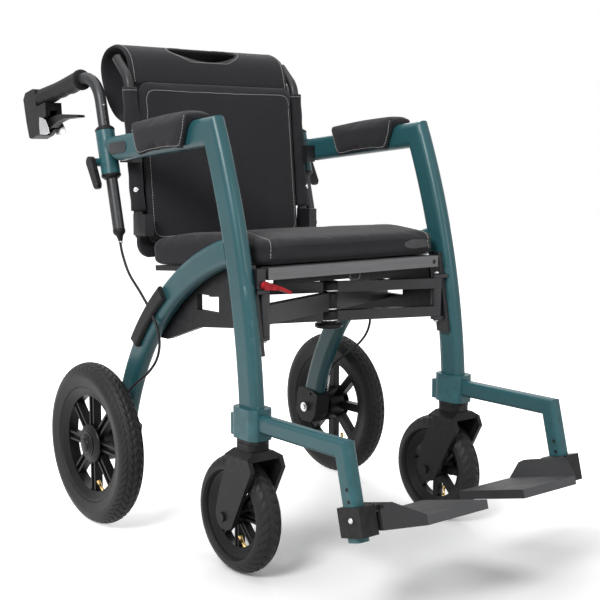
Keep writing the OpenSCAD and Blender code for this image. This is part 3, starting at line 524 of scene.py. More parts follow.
@dataclass(frozen=True)
class Slope:
    """A leaning plane that runs across the chair: along it, and out of it."""

    origin: Vector
    along: Vector
    out: Vector

    @classmethod
    def level(cls, place: Point, fall: float) -> "Slope":
        """Plane that runs back and falls, with up as out.

        Args:
            place: point of the plane in millimetres.
            fall: its angle in degrees.

        Returns:
            The plane.
        """
        t = math.radians(fall)
        along = Vector((0, math.cos(t), -math.sin(t)))
        return cls(GAUGE.at(*place), along, Vector((0, math.sin(t), math.cos(t))))

    @classmethod
    def upright(cls, place: Point, lean: float, way: int = 1) -> "Slope":
        """Plane that runs up and leans back, with forward as out.

        Args:
            place: point of the plane in millimetres.
            lean: its angle in degrees.
            way: minus one where it is measured downwards.

        Returns:
            The plane.
        """
        t = math.radians(lean)
        along = Vector((0, math.sin(t), math.cos(t))) * way
        return cls(GAUGE.at(*place), along, Vector((0, -math.cos(t), math.sin(t))))

    def at(self, x: float, u: float, w: float) -> Vector:
        """Point at x across, u along and w out of the plane, all in millimetres."""
        return self.origin + Vector((x * MM, 0, 0)) + self.along * (u * MM) + self.out * (w * MM)

    def split(self, co: np.ndarray) -> tuple[np.ndarray, np.ndarray, np.ndarray]:
        """The x, u and w of many points, in millimetres."""
        arm = co - np.array(self.origin)
        return arm[:, 0] * PER_M, arm @ np.array(self.along) * PER_M, arm @ np.array(self.out) * PER_M


GAUGE = Gauge.of_frame()

# Top of the seat pan, back from the front beam
SEAT = Slope.level((0, -392, 508), 3.8)
# Middle of the armrest tubes, back from the front corner
ARM = Slope.level((0, -315.88, 728.72), 4.9)
# Front of the backrest
BACK = Slope.upright((0, -23, 516), 5.3)
# Middle of the handle tubes, up from the sleeve's middle
HANDLE = Slope.upright((0, 40.5, 694.17), 14.0)
# Middle of the footrests' drop tubes, down from the corner
FOOT = Slope.upright((0, -648, 262.1), 14.0, -1)


# Finishes named by their slot in the record, then those of single parts
FINISHES: dict[str, Finish] = {
    "frame_paint": PowderCoat("petrol_powder_coat", (0.019, 0.085, 0.098)),
    "charcoal_fabric": WovenCloth("charcoal_weave", (0.024, 0.024, 0.027)),
    "dark_anodised": DrawnMetal("dark_anodised", (0.048, 0.049, 0.052), 0.42, 0.8),
    "grip_rubber": SoftRubber("grip_rubber", (0.011, 0.011, 0.012), 0.6),
    "black_plastic": MouldedPlastic("black_moulding", (0.009, 0.009, 0.01), 0.44),
    "cable_sheath": MouldedPlastic("cable_sheath", (0.018, 0.018, 0.02), 0.42, 1500.0, 0.00006),
    "bright_steel": DrawnMetal("bright_steel", (0.55, 0.55, 0.57), 0.28),
    "rim_plastic": MouldedPlastic("rim_nylon", (0.009, 0.009, 0.01), 0.4),
    "tyre_rubber": SoftRubber("tyre_rubber", (0.017, 0.017, 0.018), 0.52, 1.9),
    "black_metal": PowderCoat("black_powder_coat", (0.014, 0.014, 0.016), 0.42),
    "red_plastic": MouldedPlastic("red_moulding", (0.3, 0.014, 0.02), 0.35, 1200.0, 0.00005),
    "thread": SewnThread("pale_thread", (0.36, 0.35, 0.34)),
    # The footplate's second colour is the painted highlight of its front faces
    "tread": TreadPlate("footplate_tread", (0.014, 0.014, 0.015), (0.085, 0.087, 0.092)),
    "brass": DrawnMetal("valve_brass", (0.72, 0.5, 0.2), 0.3),
    "label": SoftRubber("label_rubber", (0.06, 0.06, 0.063), 0.5, 1.3),
    "beam": DrawnMetal("beam_anodised", (0.12, 0.12, 0.124), 0.4, 0.75, (12.0, 900.0, 900.0)),
}


class Palette:
    """Every finish of the chair, made once."""

    def __init__(self) -> None:
        """Builds the finishes."""
        self.made = {key: finish.make() for key, finish in FINISHES.items()}

    def of(self, key: str) -> bpy.types.Material:
        """The finish of a record slot or of a single part."""
        return self.made[key]


def around(count: int) -> list[float]:
    """Angles at equal steps round a full turn, in radians."""
    return [2 * math.pi * k / count for k in range(count)]


def oval(a: float, b: float, count: int) -> list[Pair]:
    """Points at equal turns round an oval with half axes a and b."""
    return [(a * math.cos(t), b * math.sin(t)) for t in around(count)]


class Shell:
    """Vertices and faces that grow into one mesh piece."""

    def __init__(self) -> None:
        """Starts empty."""
        self.verts: list[Vector] = []
        self.faces: list[tuple[int, ...]] = []

    def ring(self, points: Iterable[Vector]) -> list[int]:
        """Adds points.

        Args:
            points: the new vertices in metres.

        Returns:
            Their numbers.
        """
        first = len(self.verts)
        self.verts.extend(points)
        return list(range(first, len(self.verts)))

    def bridge(self, a: Sequence[int], b: Sequence[int]) -> None:
        """Joins two closed rings with quads.

        Args:
            a: numbers of the first ring's points.
            b: as many numbers of the second ring's.
        """
        for i in range(len(a)):
            j = (i + 1) % len(a)
            self.faces.append((a[i], a[j], b[j], b[i]))

    def loft(self, rings: Sequence[Line], looped: bool = False) -> None:
        """Joins closed rings in order.

        Args:
            rings: rings of points with equal counts.
            looped: joins the last ring to the first, instead of closing both with a face.
        """
        made = [self.ring(points) for points in rings]
        for a, b in zip(made, made[1:]):
            self.bridge(a, b)
        if looped:
            self.bridge(made[-1], made[0])
        else:
            self.faces.append(tuple(reversed(made[0])))
            self.faces.append(tuple(made[-1]))

    def tube(self, path: Line, radii: float | Sequence[float], sides: int = 10) -> None:
        """Sweeps a round tube along a path.

        Args:
            path: points of its middle line in metres.
            radii: one radius, or one for each point, in metres.
            sides: points in each ring.
        """
        if isinstance(radii, float):
            radii = [radii] * len(path)
        side = Vector((1, 0, 0))
        rings = []
        for i, point in enumerate(path):
            way = (path[min(i + 1, len(path) - 1)] - path[max(i - 1, 0)]).normalized()
            if abs(way.dot(side)) > 0.95:
                side = Vector((0, 0, 1)) if abs(way.z) < 0.8 else Vector((0, 1, 0))
            up = way.cross(side).normalized()
            side = up.cross(way).normalized()
            rings.append([point + (side * math.cos(t) + up * math.sin(t)) * radii[i] for t in around(sides)])
        self.loft(rings)

    @staticmethod
    def spokes(axis: Vector, sides: int) -> list[Vector]:
        """Unit vectors at equal turns round an axis.

        Args:
            axis: direction of the axis.
            sides: number of vectors.

        Returns:
            The vectors, in order.
        """
        way = axis.normalized()
        side = way.orthogonal().normalized()
        up = way.cross(side)
        return [side * math.cos(t) + up * math.sin(t) for t in around(sides)]

    def lathe(self, centre: Vector, axis: Vector, profile: Profile, sides: int = 24) -> None:
        """Turns a profile of (height, radius) pairs about an axis.

        Args:
            centre: foot of the axis in metres.
            axis: direction of the axis.
            profile: heights and radii in millimetres, from foot to tip.
            sides: points in each ring.
        """
        way = axis.normalized()
        spokes = self.spokes(axis, sides)
        self.loft([[centre + way * (h * MM) + s * (r * MM) for s in spokes] for h, r in profile])

    def band(self, centre: Vector, axis: Vector, profile: Profile, sides: int = 32) -> None:
        """Turns a closed profile of (height, radius) pairs into a ring.

        Args:
            centre: foot of the axis in metres.
            axis: direction of the axis.
            profile: heights and radii in millimetres, round the ring's section.
            sides: sections in the ring.
        """
        way = axis.normalized()
        rings = []
        for spoke in self.spokes(axis, sides):
            rings.append([centre + way * (h * MM) + spoke * (r * MM) for h, r in profile])
        self.loft(rings, looped=True)

    def screw(self, centre: Vector, axis: Vector, r: float, high: float) -> None:
        """Adds a domed screw head with a round socket.

        Args:
            centre: foot of the head in metres.
            axis: direction that it stands up in.
            r: its radius in millimetres.
            high: its height in millimetres.
        """
        profile = [(-0.8, r), (0.35 * high, r), (0.8 * high, 0.86 * r), (high, 0.6 * r), (high, 0.5 * r),
                   (0.45 * high, 0.42 * r), (0.4 * high, 0.05 * r)]
        self.lathe(centre, axis, profile, 20)

    def plate(self, outline: Line, out: Vector, thick: float, edge: float) -> None:
        """Adds a flat plate with a softened rim.

        Args:
            outline: points round the foot of the plate, in metres.
            out: direction that the plate stands up in.
            thick: its height in millimetres.
            edge: how far its top is drawn in, in millimetres.
        """
        middle = sum(outline, Vector()) / len(outline)
        reach = max((p - middle).length for p in outline) * PER_M
        steps = [(0.0, 0.0), (0.55 * thick, 0.0), (0.9 * thick, 0.4 * edge), (thick, edge)]
        self.loft([[p.lerp(middle, cut / reach) + out * (h * MM) for p in outline] for h, cut in steps])

    def piece(self, palette: Palette, name: str, body: str, slot: str, finish: str = "") -> bpy.types.Object:
        """Makes the mesh object, with its finish and body.

        Args:
            palette: finishes to choose from.
            name: name of the piece.
            body: CAD body that it rides on, or nothing for a piece that rides on none.
            slot: record slot whose finish it takes.
            finish: finish of a single part, in place of the slot's own.

        Returns:
            The new object, in the row frame.
        """
        mesh = bpy.data.meshes.new(name)
        mesh.from_pydata([tuple(v) for v in self.verts], [], self.faces)
        mesh.validate()
        tidy_normals(mesh)
        made = bpy.data.objects.new(name, mesh)
        bpy.context.scene.collection.objects.link(made)
        mesh.materials.append(palette.of(finish or slot))
        mesh.shade_smooth()
        if body:
            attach(made, body)
        return made


@dataclass
class SideTrim:
    """Base of the small parts that each side of the chair has once."""

    palette: Palette
    side: Side

    def named(self, stem: str) -> str:
        """A name with this side after it."""
        return f"{stem}_{self.side.value}"

    def add(self, shell: Shell, name: str, body: str, slot: str) -> bpy.types.Object:
        """Makes a piece named for this side on this side's body."""
        return shell.piece(self.palette, self.named(name), self.named(body), slot)


def tidy_normals(mesh: bpy.types.Mesh) -> None:
    """Turns every face of a mesh outwards.

    Args:
        mesh: mesh that is changed in place.
    """
    work = bmesh.new()
    work.from_mesh(mesh)
    bmesh.ops.recalc_face_normals(work, faces=work.faces)
    work.to_mesh(mesh)
    work.free()


def curve_through(points: Line, steps: int) -> list[Vector]:
    """Smooth curve through points.

    Args:
        points: points that the curve passes.
        steps: number of steps from each point to the next.

    Returns:
        The curve's points, from the first to the last.
    """
    last = len(points) - 1
    line = []
    for i in range(last):
        a, b, c, d = (points[max(0, min(last, i + k))] for k in (-1, 0, 1, 2))
        for k in range(steps):
            t = k / steps
            bend = (2 * a - 5 * b + 4 * c - d) * t**2
            twist = (3 * b - a - 3 * c + d) * t**3
            line.append(0.5 * (2 * b + (c - a) * t + bend + twist))
    return [*line, points[-1]]


def evenly(line: Line, pitch: float) -> list[Vector]:
    """Points at equal steps along a line of points.

    Args:
        line: points of the line.
        pitch: length of a step in metres.

    Returns:
        The places, from the line's first point on.
    """
    found = [line[0]]
    left = pitch
    for a, b in zip(line, line[1:]):
        span = (b - a).length
        gone = 0.0
        while span - gone >= left:
            gone += left
            found.append(a.lerp(b, gone / span))
            left = pitch
        left -= span - gone
    return found


def surface_of(piece: bpy.types.Object) -> BVHTree:
    """Search tree of a piece's shown surface."""
    bpy.context.view_layer.update()
    return BVHTree.FromObject(piece, bpy.context.evaluated_depsgraph_get())


@dataclass(frozen=True)
class Stitching:
    """Run of single stitches that lie on a piece's surface."""

    pitch: float = 0.0054
    length: float = 0.0042
    radius: float = 0.0006
    lift: float = 0.0003

    def sew(self, shell: Shell, surface: BVHTree, line: Line) -> None:
        """Adds one capsule for each stitch along a line near the surface.

        Args:
            shell: collects the stitches.
            surface: search tree of the cloth.
            line: points close to the cloth, in metres.
        """
        places = evenly(line, self.pitch)
        for a, b in zip(places, places[1:]):
            way = (b - a).normalized() * self.length
            ends = [surface.find_nearest(a + way * t) for t in (0.0, 0.5, 1.0)]
            if any(found[0] is None for found in ends):
                continue
            lifts = (0.0, self.lift, 0.0)
            path = [found[0] + found[1] * lift for found, lift in zip(ends, lifts)]
            tips = [path[0].lerp(path[1], 0.18), path[1].lerp(path[2], 0.82)]
            radii = [0.3 * self.radius, self.radius, self.radius, self.radius, 0.3 * self.radius]
            shell.tube([path[0], tips[0], path[1], tips[1], path[2]], radii, 6)

    def run(
        self, palette: Palette, cloth: bpy.types.Object, name: str, body: str, lines: Sequence[Line]
    ) -> bpy.types.Object:
        """Sews lines of stitches on a cloth piece.

        Args:
            palette: finishes to choose from.
            cloth: piece that the stitches lie on.
            name: name of the stitches.
            body: CAD body that they ride on.
            lines: for each line, points close to the cloth in metres.

        Returns:
            The stitches as one piece.
        """
        shell = Shell()
        surface = surface_of(cloth)
        for line in lines:
            self.sew(shell, surface, line)
        return shell.piece(palette, name, body, "charcoal_fabric", "thread")


@dataclass(frozen=True)
class Swelling:
    """How a padded piece is made from its CAD solid: shrunk, remeshed and blown up by Cloth."""

    voxel: float = 0.005
    shrink: float = 0.003
    pressure: float = 4.0
    cap: float = 0.007
    evening: int = 3
    frames: int = 20

    def copy(self, node: str, name: str) -> bpy.types.Object:
        """Copies a CAD node's mesh, evened and slightly smaller.

        Args:
            node: name of the CAD node.
            name: name of the copy.

        Returns:
            The copy, ready to be blown up.
        """
        made = bpy.data.objects.new(name, frame["nodes"][node].data.copy())
        bpy.context.scene.collection.objects.link(made)
        made.data.materials.clear()
        made.data.remesh_voxel_size = self.voxel
        with bpy.context.temp_override(active_object=made, object=made, selected_objects=[made]):
            bpy.ops.object.voxel_remesh()
        self.smoothed(made, self.evening)
        normals = [v.normal.copy() for v in made.data.vertices]
        for vertex, normal in zip(made.data.vertices, normals):
            vertex.co -= normal * self.shrink
        return made

    @staticmethod
    def smoothed(piece: bpy.types.Object, times: int) -> None:
        """Evens out the voxel steps of a piece.

        Args:
            piece: piece whose mesh is changed.
            times: number of passes.
        """
        work = bmesh.new()
        work.from_mesh(piece.data)
        for _ in range(times):
            bmesh.ops.smooth_vert(
                work, verts=work.verts, factor=0.5, use_axis_x=True, use_axis_y=True, use_axis_z=True
            )
        work.to_mesh(piece.data)
        work.free()

    def blow_up(self, piece: bpy.types.Object) -> None:
        """Runs Cloth with inner pressure and keeps the capped result.

        Args:
            piece: the copy, whose mesh takes the new shape.
        """
        rest = np.array([v.co for v in piece.data.vertices])
        cloth = piece.modifiers.new("inflate", "CLOTH")
        cloth.settings.use_pressure = True
        cloth.settings.uniform_pressure_force = self.pressure
        cloth.settings.effector_weights.gravity = 0.0
        cloth.point_cache.frame_end = self.frames
        scene = bpy.context.scene
        for number in range(1, self.frames + 1):
            scene.frame_set(number)
        shown = piece.evaluated_get(bpy.context.evaluated_depsgraph_get())
        blown = np.array([v.co for v in shown.data.vertices])
        piece.modifiers.remove(cloth)
        scene.frame_set(1)
        step = blown - rest
        size = np.linalg.norm(step, axis=1, keepdims=True)
        moved = rest + step * np.minimum(1.0, self.cap / np.maximum(size, 1e-9))
        piece.data.vertices.foreach_set("co", moved.astype(np.float32).ravel())
        piece.data.update()


@dataclass
class Upholstery:
    """Base of the padded pieces: swells a CAD solid, shapes it, covers it and sews it."""

    palette: Palette
    node: str
    body: str
    fill: float = 0.7
    swelling: Swelling = Swelling()

    @property
    def name(self) -> str:
        """Name of the padded piece."""
        return f"{self.node}_cover"

    def build(self) -> None:
        """Makes the finished piece, which replaces its CAD node, with its stitches."""
        piece = self.swelling.copy(self.node, self.name)
        self.swelling.blow_up(piece)
        co = np.array([v.co for v in piece.data.vertices])
        self.shape(co)
        piece.data.vertices.foreach_set("co", co.astype(np.float32).ravel())
        Swelling.smoothed(piece, 1)
        self.subdivide(piece)
        piece.data.materials.append(self.palette.of("charcoal_fabric"))
        piece.data.shade_smooth()
        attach(piece, self.body)
        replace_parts(piece, self.node)
        thread = Stitching().run(self.palette, piece, f"{self.name}_stitches", self.body, self.seams())
        self.settle([piece, thread, *self.trim(surface_of(piece))])
        sizes = [len(part.data.vertices) for part in (piece, thread)]
        log.info("%s: %d points, and %d of its stitches", self.name, *sizes)

    @staticmethod
    def subdivide(piece: bpy.types.Object) -> None:
        """Applies one smooth subdivision.

        Args:
            piece: piece whose mesh is replaced.
        """
        modifier = piece.modifiers.new("smooth", "SUBSURF")
        modifier.levels = modifier.render_levels = 1
        shown = piece.evaluated_get(bpy.context.evaluated_depsgraph_get())
        mesh = bpy.data.meshes.new_from_object(shown)
        piece.modifiers.remove(modifier)
        piece.data = mesh

    def shape(self, co: np.ndarray) -> None:
        """Moves points after the simulation; plain pieces need no change."""

    def seams(self) -> list[Line]:
        """Lines of the stitches, which every padded piece has."""
        raise NotImplementedError

    def trim(self, surface: BVHTree) -> list[bpy.types.Object]:
        """Makes what else is fixed to the cover; plain pieces have nothing."""
        return []

    def settle(self, parts: list[bpy.types.Object]) -> None:
        """Last step for the finished parts; plain pieces have none."""


def smooth_step(low: float, high: float, value: np.ndarray) -> np.ndarray:
    """Soft step from zero at low to one at high."""
    t = np.clip((value - low) / (high - low), 0.0, 1.0)
    return t * t * (3.0 - 2.0 * t)


@dataclass
class SeatCushion(Upholstery):
    """Seat pad with raised sides, a seam at each front corner and a bare label."""

    swelling: Swelling = Swelling(voxel=0.004, shrink=0.002, cap=0.0035, evening=1)
    bolster: float = 11.0
    side_span: Pair = (95.0, 176.0)
    outer_span: Pair = (184.0, 205.0)
    outer_fall: float = 0.6
    front_span: Pair = (0.0, 90.0)
    rear_span: Pair = (230.0, 330.0)
    rear_fall: float = 0.5
    top_span: Pair = (22.0, 40.0)
    flat_below: float = 2.0
    label_at: Point = (151.0, -20.0, 21.0)
    label_size: Pair = (30.0, 10.0)

    def shape(self, co: np.ndarray) -> None:
        """Raises the sides and keeps the underside flat.

        Args:
            co: points of the cover in metres, moved in place.
        """
        x, u, w = SEAT.split(co)
        x = np.abs(x)
        rise = smooth_step(*self.side_span, x) * (1.0 - self.outer_fall * smooth_step(*self.outer_span, x))
        rise *= smooth_step(*self.front_span, u) * (1.0 - self.rear_fall * smooth_step(*self.rear_span, u))
        rise *= smooth_step(*self.top_span, w)
        low = np.minimum(0.0, w - self.flat_below)
        co += np.outer(rise * self.bolster - low, np.array(SEAT.out)) * MM

    def seams(self) -> list[Line]:
        """Lines from each bolster over the top edge and down the front corner.

        Returns:
            One line for each side.
        """
        marks = [(168, 120, 72), (172, 60, 72), (176, 24, 68), (177, 2, 62), (178, -12, 50), (180, -17, 34),
                 (182, -17, 8)]
        return [curve_through([SEAT.at(side.sign * x, u, w) for x, u, w in marks], 12) for side in Side]

    def trim(self, surface: BVHTree) -> list[bpy.types.Object]:
        """Makes the bare oval label on the front edge.

        Args:
            surface: search tree of the cover.

        Returns:
            The label.
        """
        x, u, w = self.label_at
        half_w, half_h = self.label_size
        shell = Shell()
        rings = []
        for size, lift in ((1.0, -0.3), (1.0, 0.5), (0.93, 0.9), (0.84, 0.55), (0.4, 0.6), (0.05, 0.6)):
            ring = []
            for a, b in oval(half_w * size, half_h * size, 40):
                place, normal, _, _ = surface.find_nearest(SEAT.at(x + a, u, w + b))
                ring.append(place + normal * (lift * MM))
            rings.append(ring)
        shell.loft(rings)
        return [shell.piece(self.palette, "seat_label", self.body, "grip_rubber", "label")]

    def settle(self, parts: list[bpy.types.Object]) -> None:
        """Gives each part its own copy of its mesh."""
        for part in parts:
            tuple(SEAT.out)
            tuple(SEAT.at(0, 165, 0.6))
            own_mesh(part)


def rounded_frame(half_w: float, low: float, high: float, round_r: float, steps: int = 8) -> list[Pair]:
    """Closed outline of an upright rectangle with round corners, in millimetres.

    Args:
        half_w: half its width.
        low: height of its lower edge.
        high: height of its upper edge.
        round_r: radius of its corners.
        steps: steps in each corner.

    Returns:
        Its (x, u) pairs, with the first one again at the end.
    """
    marks = []
    corners = [(1, high, 0), (-1, high, 90), (-1, low, 180), (1, low, 270)]
    for sign, edge, start in corners:
        cx = sign * (half_w - round_r)
        cu = edge - round_r if edge == high else edge + round_r
        for k in range(steps + 1):
            t = math.radians(start + 90 * k / steps)
            marks.append((cx + round_r * math.cos(t), cu + round_r * math.sin(t)))
    return [*marks, marks[0]]


def gather(part: bpy.types.Object, post_x: float = 185.0) -> None:
    """Gives a cloth piece between the posts its own copy of its mesh."""
    tuple(GAUGE.at(-post_x, 0, 650))
    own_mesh(part)


@dataclass
class BackCloth(Upholstery):
    """Base of the padded cloth between the posts."""

    def settle(self, parts: list[bpy.types.Object]) -> None:
        """Gives each part its own copy of its mesh, through gather()."""
        for part in parts:
            gather(part)


@dataclass
class BackPanel(BackCloth):
    """Padded sling of the backrest with a stitched border."""

    swelling: Swelling = Swelling(cap=0.004)
    half_w: float = 173.0
    low: float = 18.0
    high: float = 298.0
    corner: float = 22.0
    front: float = 12.0

    def seams(self) -> list[Line]:
        """The rounded border on the front."""
        marks = rounded_frame(self.half_w, self.low, self.high, self.corner)
        return [[BACK.at(x, u, self.front) for x, u in marks]]


@dataclass
class BackBag(BackCloth):
    """Slack bag behind the posts."""

    fill: float = 0.2
    foot: float = -27.0
    tall: float = 252.0
    ripple: float = 1.6
    half_w: float = 176.0
    low: float = -12.0
    high: float = 210.0
    corner: float = 26.0
    back: float = -70.0
    mouth_u: float = 168.0
    mouth_half_w: float = 170.0
    mouth_sag: float = 6.0

    def shape(self, co: np.ndarray) -> None:
        """Lets the bag's back sag in ripples.

        Args:
            co: points of the cover in metres, moved in place.
        """
        x, u, w = BACK.split(co)
        rise = np.clip((u - self.foot) / self.tall, 0.0, 1.0)
        slack = smooth_step(30.0, 50.0, -w) * np.sin(rise * math.pi)
        ripple = self.ripple * np.sin(u / 16.0 + 0.8 * np.sin(x / 45.0)) * smooth_step(40.0, 110.0, u)
        co += np.outer(slack * ripple, -np.array(BACK.out)) * MM

    def seams(self) -> list[Line]:
        """Lines on the back.

        Returns:
            The pocket's border, which ends half-way up its last side, and its sagging mouth.
        """
        marks = rounded_frame(self.half_w, self.low, self.high, self.corner)
        border = [BACK.at(x, u, self.back) for x, u in marks]
        border[-1] = border[-2].lerp(border[-1], 0.5)
        mouth = []
        for x in np.linspace(-self.mouth_half_w, self.mouth_half_w, 80):
            sag = self.mouth_sag * (1.0 - (x / self.mouth_half_w) ** 2)
            mouth.append(BACK.at(x, self.mouth_u - sag, self.back))
        return [border, mouth]


@dataclass
class ArmPad(Upholstery):
    """Padded wrap over one armrest tube, sewn along its lower and front edges."""

    side: Side = Side.LEFT
    swelling: Swelling = Swelling(voxel=0.004, shrink=0.0015, cap=0.004)
    pad_w: float = 52.0
    front_slant: float = 0.48
    front_reach: float = 15.0
    slant_top: float = 28.0
    slant_span: Pair = (70.0, 190.0)

    def slant(self, u: np.ndarray, w: np.ndarray) -> np.ndarray:
        """How far back the pad's front end moves at a place along and above the arm, in millimetres."""
        back = self.front_slant * np.clip(self.slant_top - w, 0.0, None) - self.front_reach
        return back * (1.0 - smooth_step(*self.slant_span, u))

    def shape(self, co: np.ndarray) -> None:
        """Slants the front end, so that its lower edge lies further back than its upper one."""
        _, u, w = ARM.split(co)
        co += np.outer(self.slant(u, w), np.array(ARM.along)) * MM

    def seams(self) -> list[Line]:
        """Lines on both cheeks: down the slanted front, along the bottom and up the rear.

        Returns:
            One line for each cheek.
        """
        marks = [(66, 32), (62, 10), (62, -10), (66, -18), (78, -19), (190, -19), (205, -15), (216, 6),
                 (229, 30)]
        places = [(u + float(self.slant(np.array(u), np.array(w))), w) for u, w in marks]
        cheeks = [self.side.x + face * self.pad_w / 2 for face in (-1, 1)]
        return [curve_through([ARM.at(x, u, w) for u, w in places], 10) for x in cheeks]


@dataclass
class HeadFlap:
    """Double cloth sling over the bent post tops, with open ends and a hand hole."""

    palette: Palette
    half_w: float = 186.4
    thick: float = 7.0
    edge_w: float = 5.0
    end_rows: float = 2.0
    thinnest: float = 0.25
    rim_thin: float = 0.55
    hem: float = 8.0
    hole: Pair = (80.0, 24.0)
    hole_hem: float = 5.0
    hole_y: float = 68.0
    ridge_z: float = 866.0
    columns: int = 75
    step: float = 0.0045

    def __post_init__(self) -> None:
        """Lays out the rows along the sling and the columns across it."""
        marks = [(29.6, 822), (38, 858), (48.5, 878), (65.5, 890.5), (90, 897.5), (114, 894.5), (131.5, 885),
                 (142.5, 869.5), (143.5, 848), (134, 819.5), (116.5, 790), (92, 766), (64, 753)]
        self.line = evenly(curve_through([GAUGE.at(0, y, z) for y, z in marks], 6), self.step)
        self.outs = []
        for i in range(len(self.line)):
            way = (self.line[min(i + 1, len(self.line) - 1)] - self.line[max(i - 1, 0)]).normalized()
            self.outs.append(Vector((0, -way.z, way.y)))
        self.rows_y = [(p.y - GAUGE.axle_y) * PER_M for p in self.line]
        self.across = np.linspace(-self.half_w, self.half_w, self.columns)
        high = GAUGE.at(0, 0, self.ridge_z).z
        self.ridge = [i for i, p in enumerate(self.line) if p.z > high]

    def inside(self, x: float, y: float) -> float:
        """How far out of the hand hole a place lies: one on its edge, less within."""
        return math.hypot(x / self.hole[0], (y - self.hole_y) / self.hole[1])

    def row_at(self, y: float) -> float:
        """Row of the ridge at a place back from the axle, in fractions of a row."""
        return float(np.interp(y, [self.rows_y[i] for i in self.ridge], self.ridge))

    def spot(self, x: float, row: float, lift: float) -> Vector:
        """Point on the sling or out of it.

        Args:
            x: place across in millimetres.
            row: row along the sling, in fractions of a row.
            lift: how far out of the middle layer, in millimetres.

        Returns:
            The point in metres.
        """
        i = min(int(row), len(self.line) - 2)
        point = self.line[i].lerp(self.line[i + 1], row - i)
        out = self.outs[i].lerp(self.outs[i + 1], row - i).normalized()
        return point + Vector((x * MM, 0, 0)) + out * (lift * MM)

    def cells(self) -> tuple[set, dict]:
        """Picks the cells round the hole and draws its rim onto a true ellipse.

        Returns:
            The kept cells, and the rim's sites with their (x, row).
        """
        opened = set()
        for i in self.ridge[:-1]:
            for k in range(self.columns - 1):
                x = (self.across[k] + self.across[k + 1]) / 2
                if self.inside(x, (self.rows_y[i] + self.rows_y[i + 1]) / 2) < 1.0:
                    opened.add((i, k))
        kept = {(i, k) for i in range(len(self.line) - 1) for k in range(self.columns - 1)} - opened
        rim = {}
        for i, k in opened:
            for site in ((i, k), (i + 1, k), (i, k + 1), (i + 1, k + 1)):
                nearby = {(site[0] - a, site[1] - b) for a in (0, 1) for b in (0, 1)}
                if nearby & kept:
                    x, y = self.across[site[1]], self.rows_y[site[0]]
                    grow = 1.0 / max(self.inside(x, y), 1e-6)
                    rim[site] = (x * grow, self.row_at(self.hole_y + (y - self.hole_y) * grow))
        return kept, rim

    def build(self) -> None:
        """Makes the sling and its stitches."""
        kept, rim = self.cells()
        shell = Shell()
        grids = []
        last = len(self.line) - 1
        for sign in (1.0, -1.0):
            grid = []
            for i in range(last + 1):
                row = []
                for k, x in enumerate(self.across):
                    edge = min(1.0, (self.half_w - abs(x)) / self.edge_w) ** 0.5
                    end = (min(i, last - i) + 0.6) / self.end_rows
                    thin = max(self.thinnest, min(edge, end, 1.0)) * (self.rim_thin if (i, k) in rim else 1.0)
                    place = rim.get((i, k), (x, float(i)))
                    row.append(self.spot(place[0], place[1], sign * 0.5 * self.thick * thin))
                grid.append(shell.ring(row))
            grids.append(grid)
        self.close(shell, grids, kept)
        piece = shell.piece(self.palette, "head_flap_sling", "frame_right", "charcoal_fabric")
        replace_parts(piece, "head_flap")
        thread = Stitching().run(self.palette, piece, "head_flap_stitches", "frame_right", self.seams())
        for part in (piece, thread):
            gather(part)

    @staticmethod
    def close(shell: Shell, grids: list, kept: set) -> None:
        """Adds the faces of both layers and closes every open edge.

        Args:
            shell: collects the faces.
            grids: point numbers of both layers, by row and column.
            kept: cells that have faces.
        """
        upper, lower = grids
        for i, k in kept:
            for grid in grids:
                shell.faces.append((grid[i][k], grid[i][k + 1], grid[i + 1][k + 1], grid[i + 1][k]))
            borders = {(i - 1, k): ((i, k), (i, k + 1)), (i + 1, k): ((i + 1, k), (i + 1, k + 1)),
                       (i, k - 1): ((i, k), (i + 1, k)), (i, k + 1): ((i, k + 1), (i + 1, k + 1))}
            for neighbour, ((a, c), (b, d)) in borders.items():
                if neighbour not in kept:
                    shell.faces.append((upper[a][c], upper[b][d], lower[b][d], lower[a][c]))

    def seams(self) -> list[Line]:
        """Lines of the stitches.

        Returns:
            One line along each open end, and one round the hole.
        """
        lift = 0.5 * self.thick
        rows = range(1, len(self.line) - 1)
        ends = [side.sign * (self.half_w - self.hem) for side in Side]
        turn = oval(self.hole[0] + self.hole_hem, self.hole[1] + self.hole_hem, 120)
        ring = [self.spot(a, self.row_at(self.hole_y + b), lift) for a, b in [*turn, turn[0]]]
        return [*([self.spot(x, i, lift) for i in rows] for x in ends), ring]


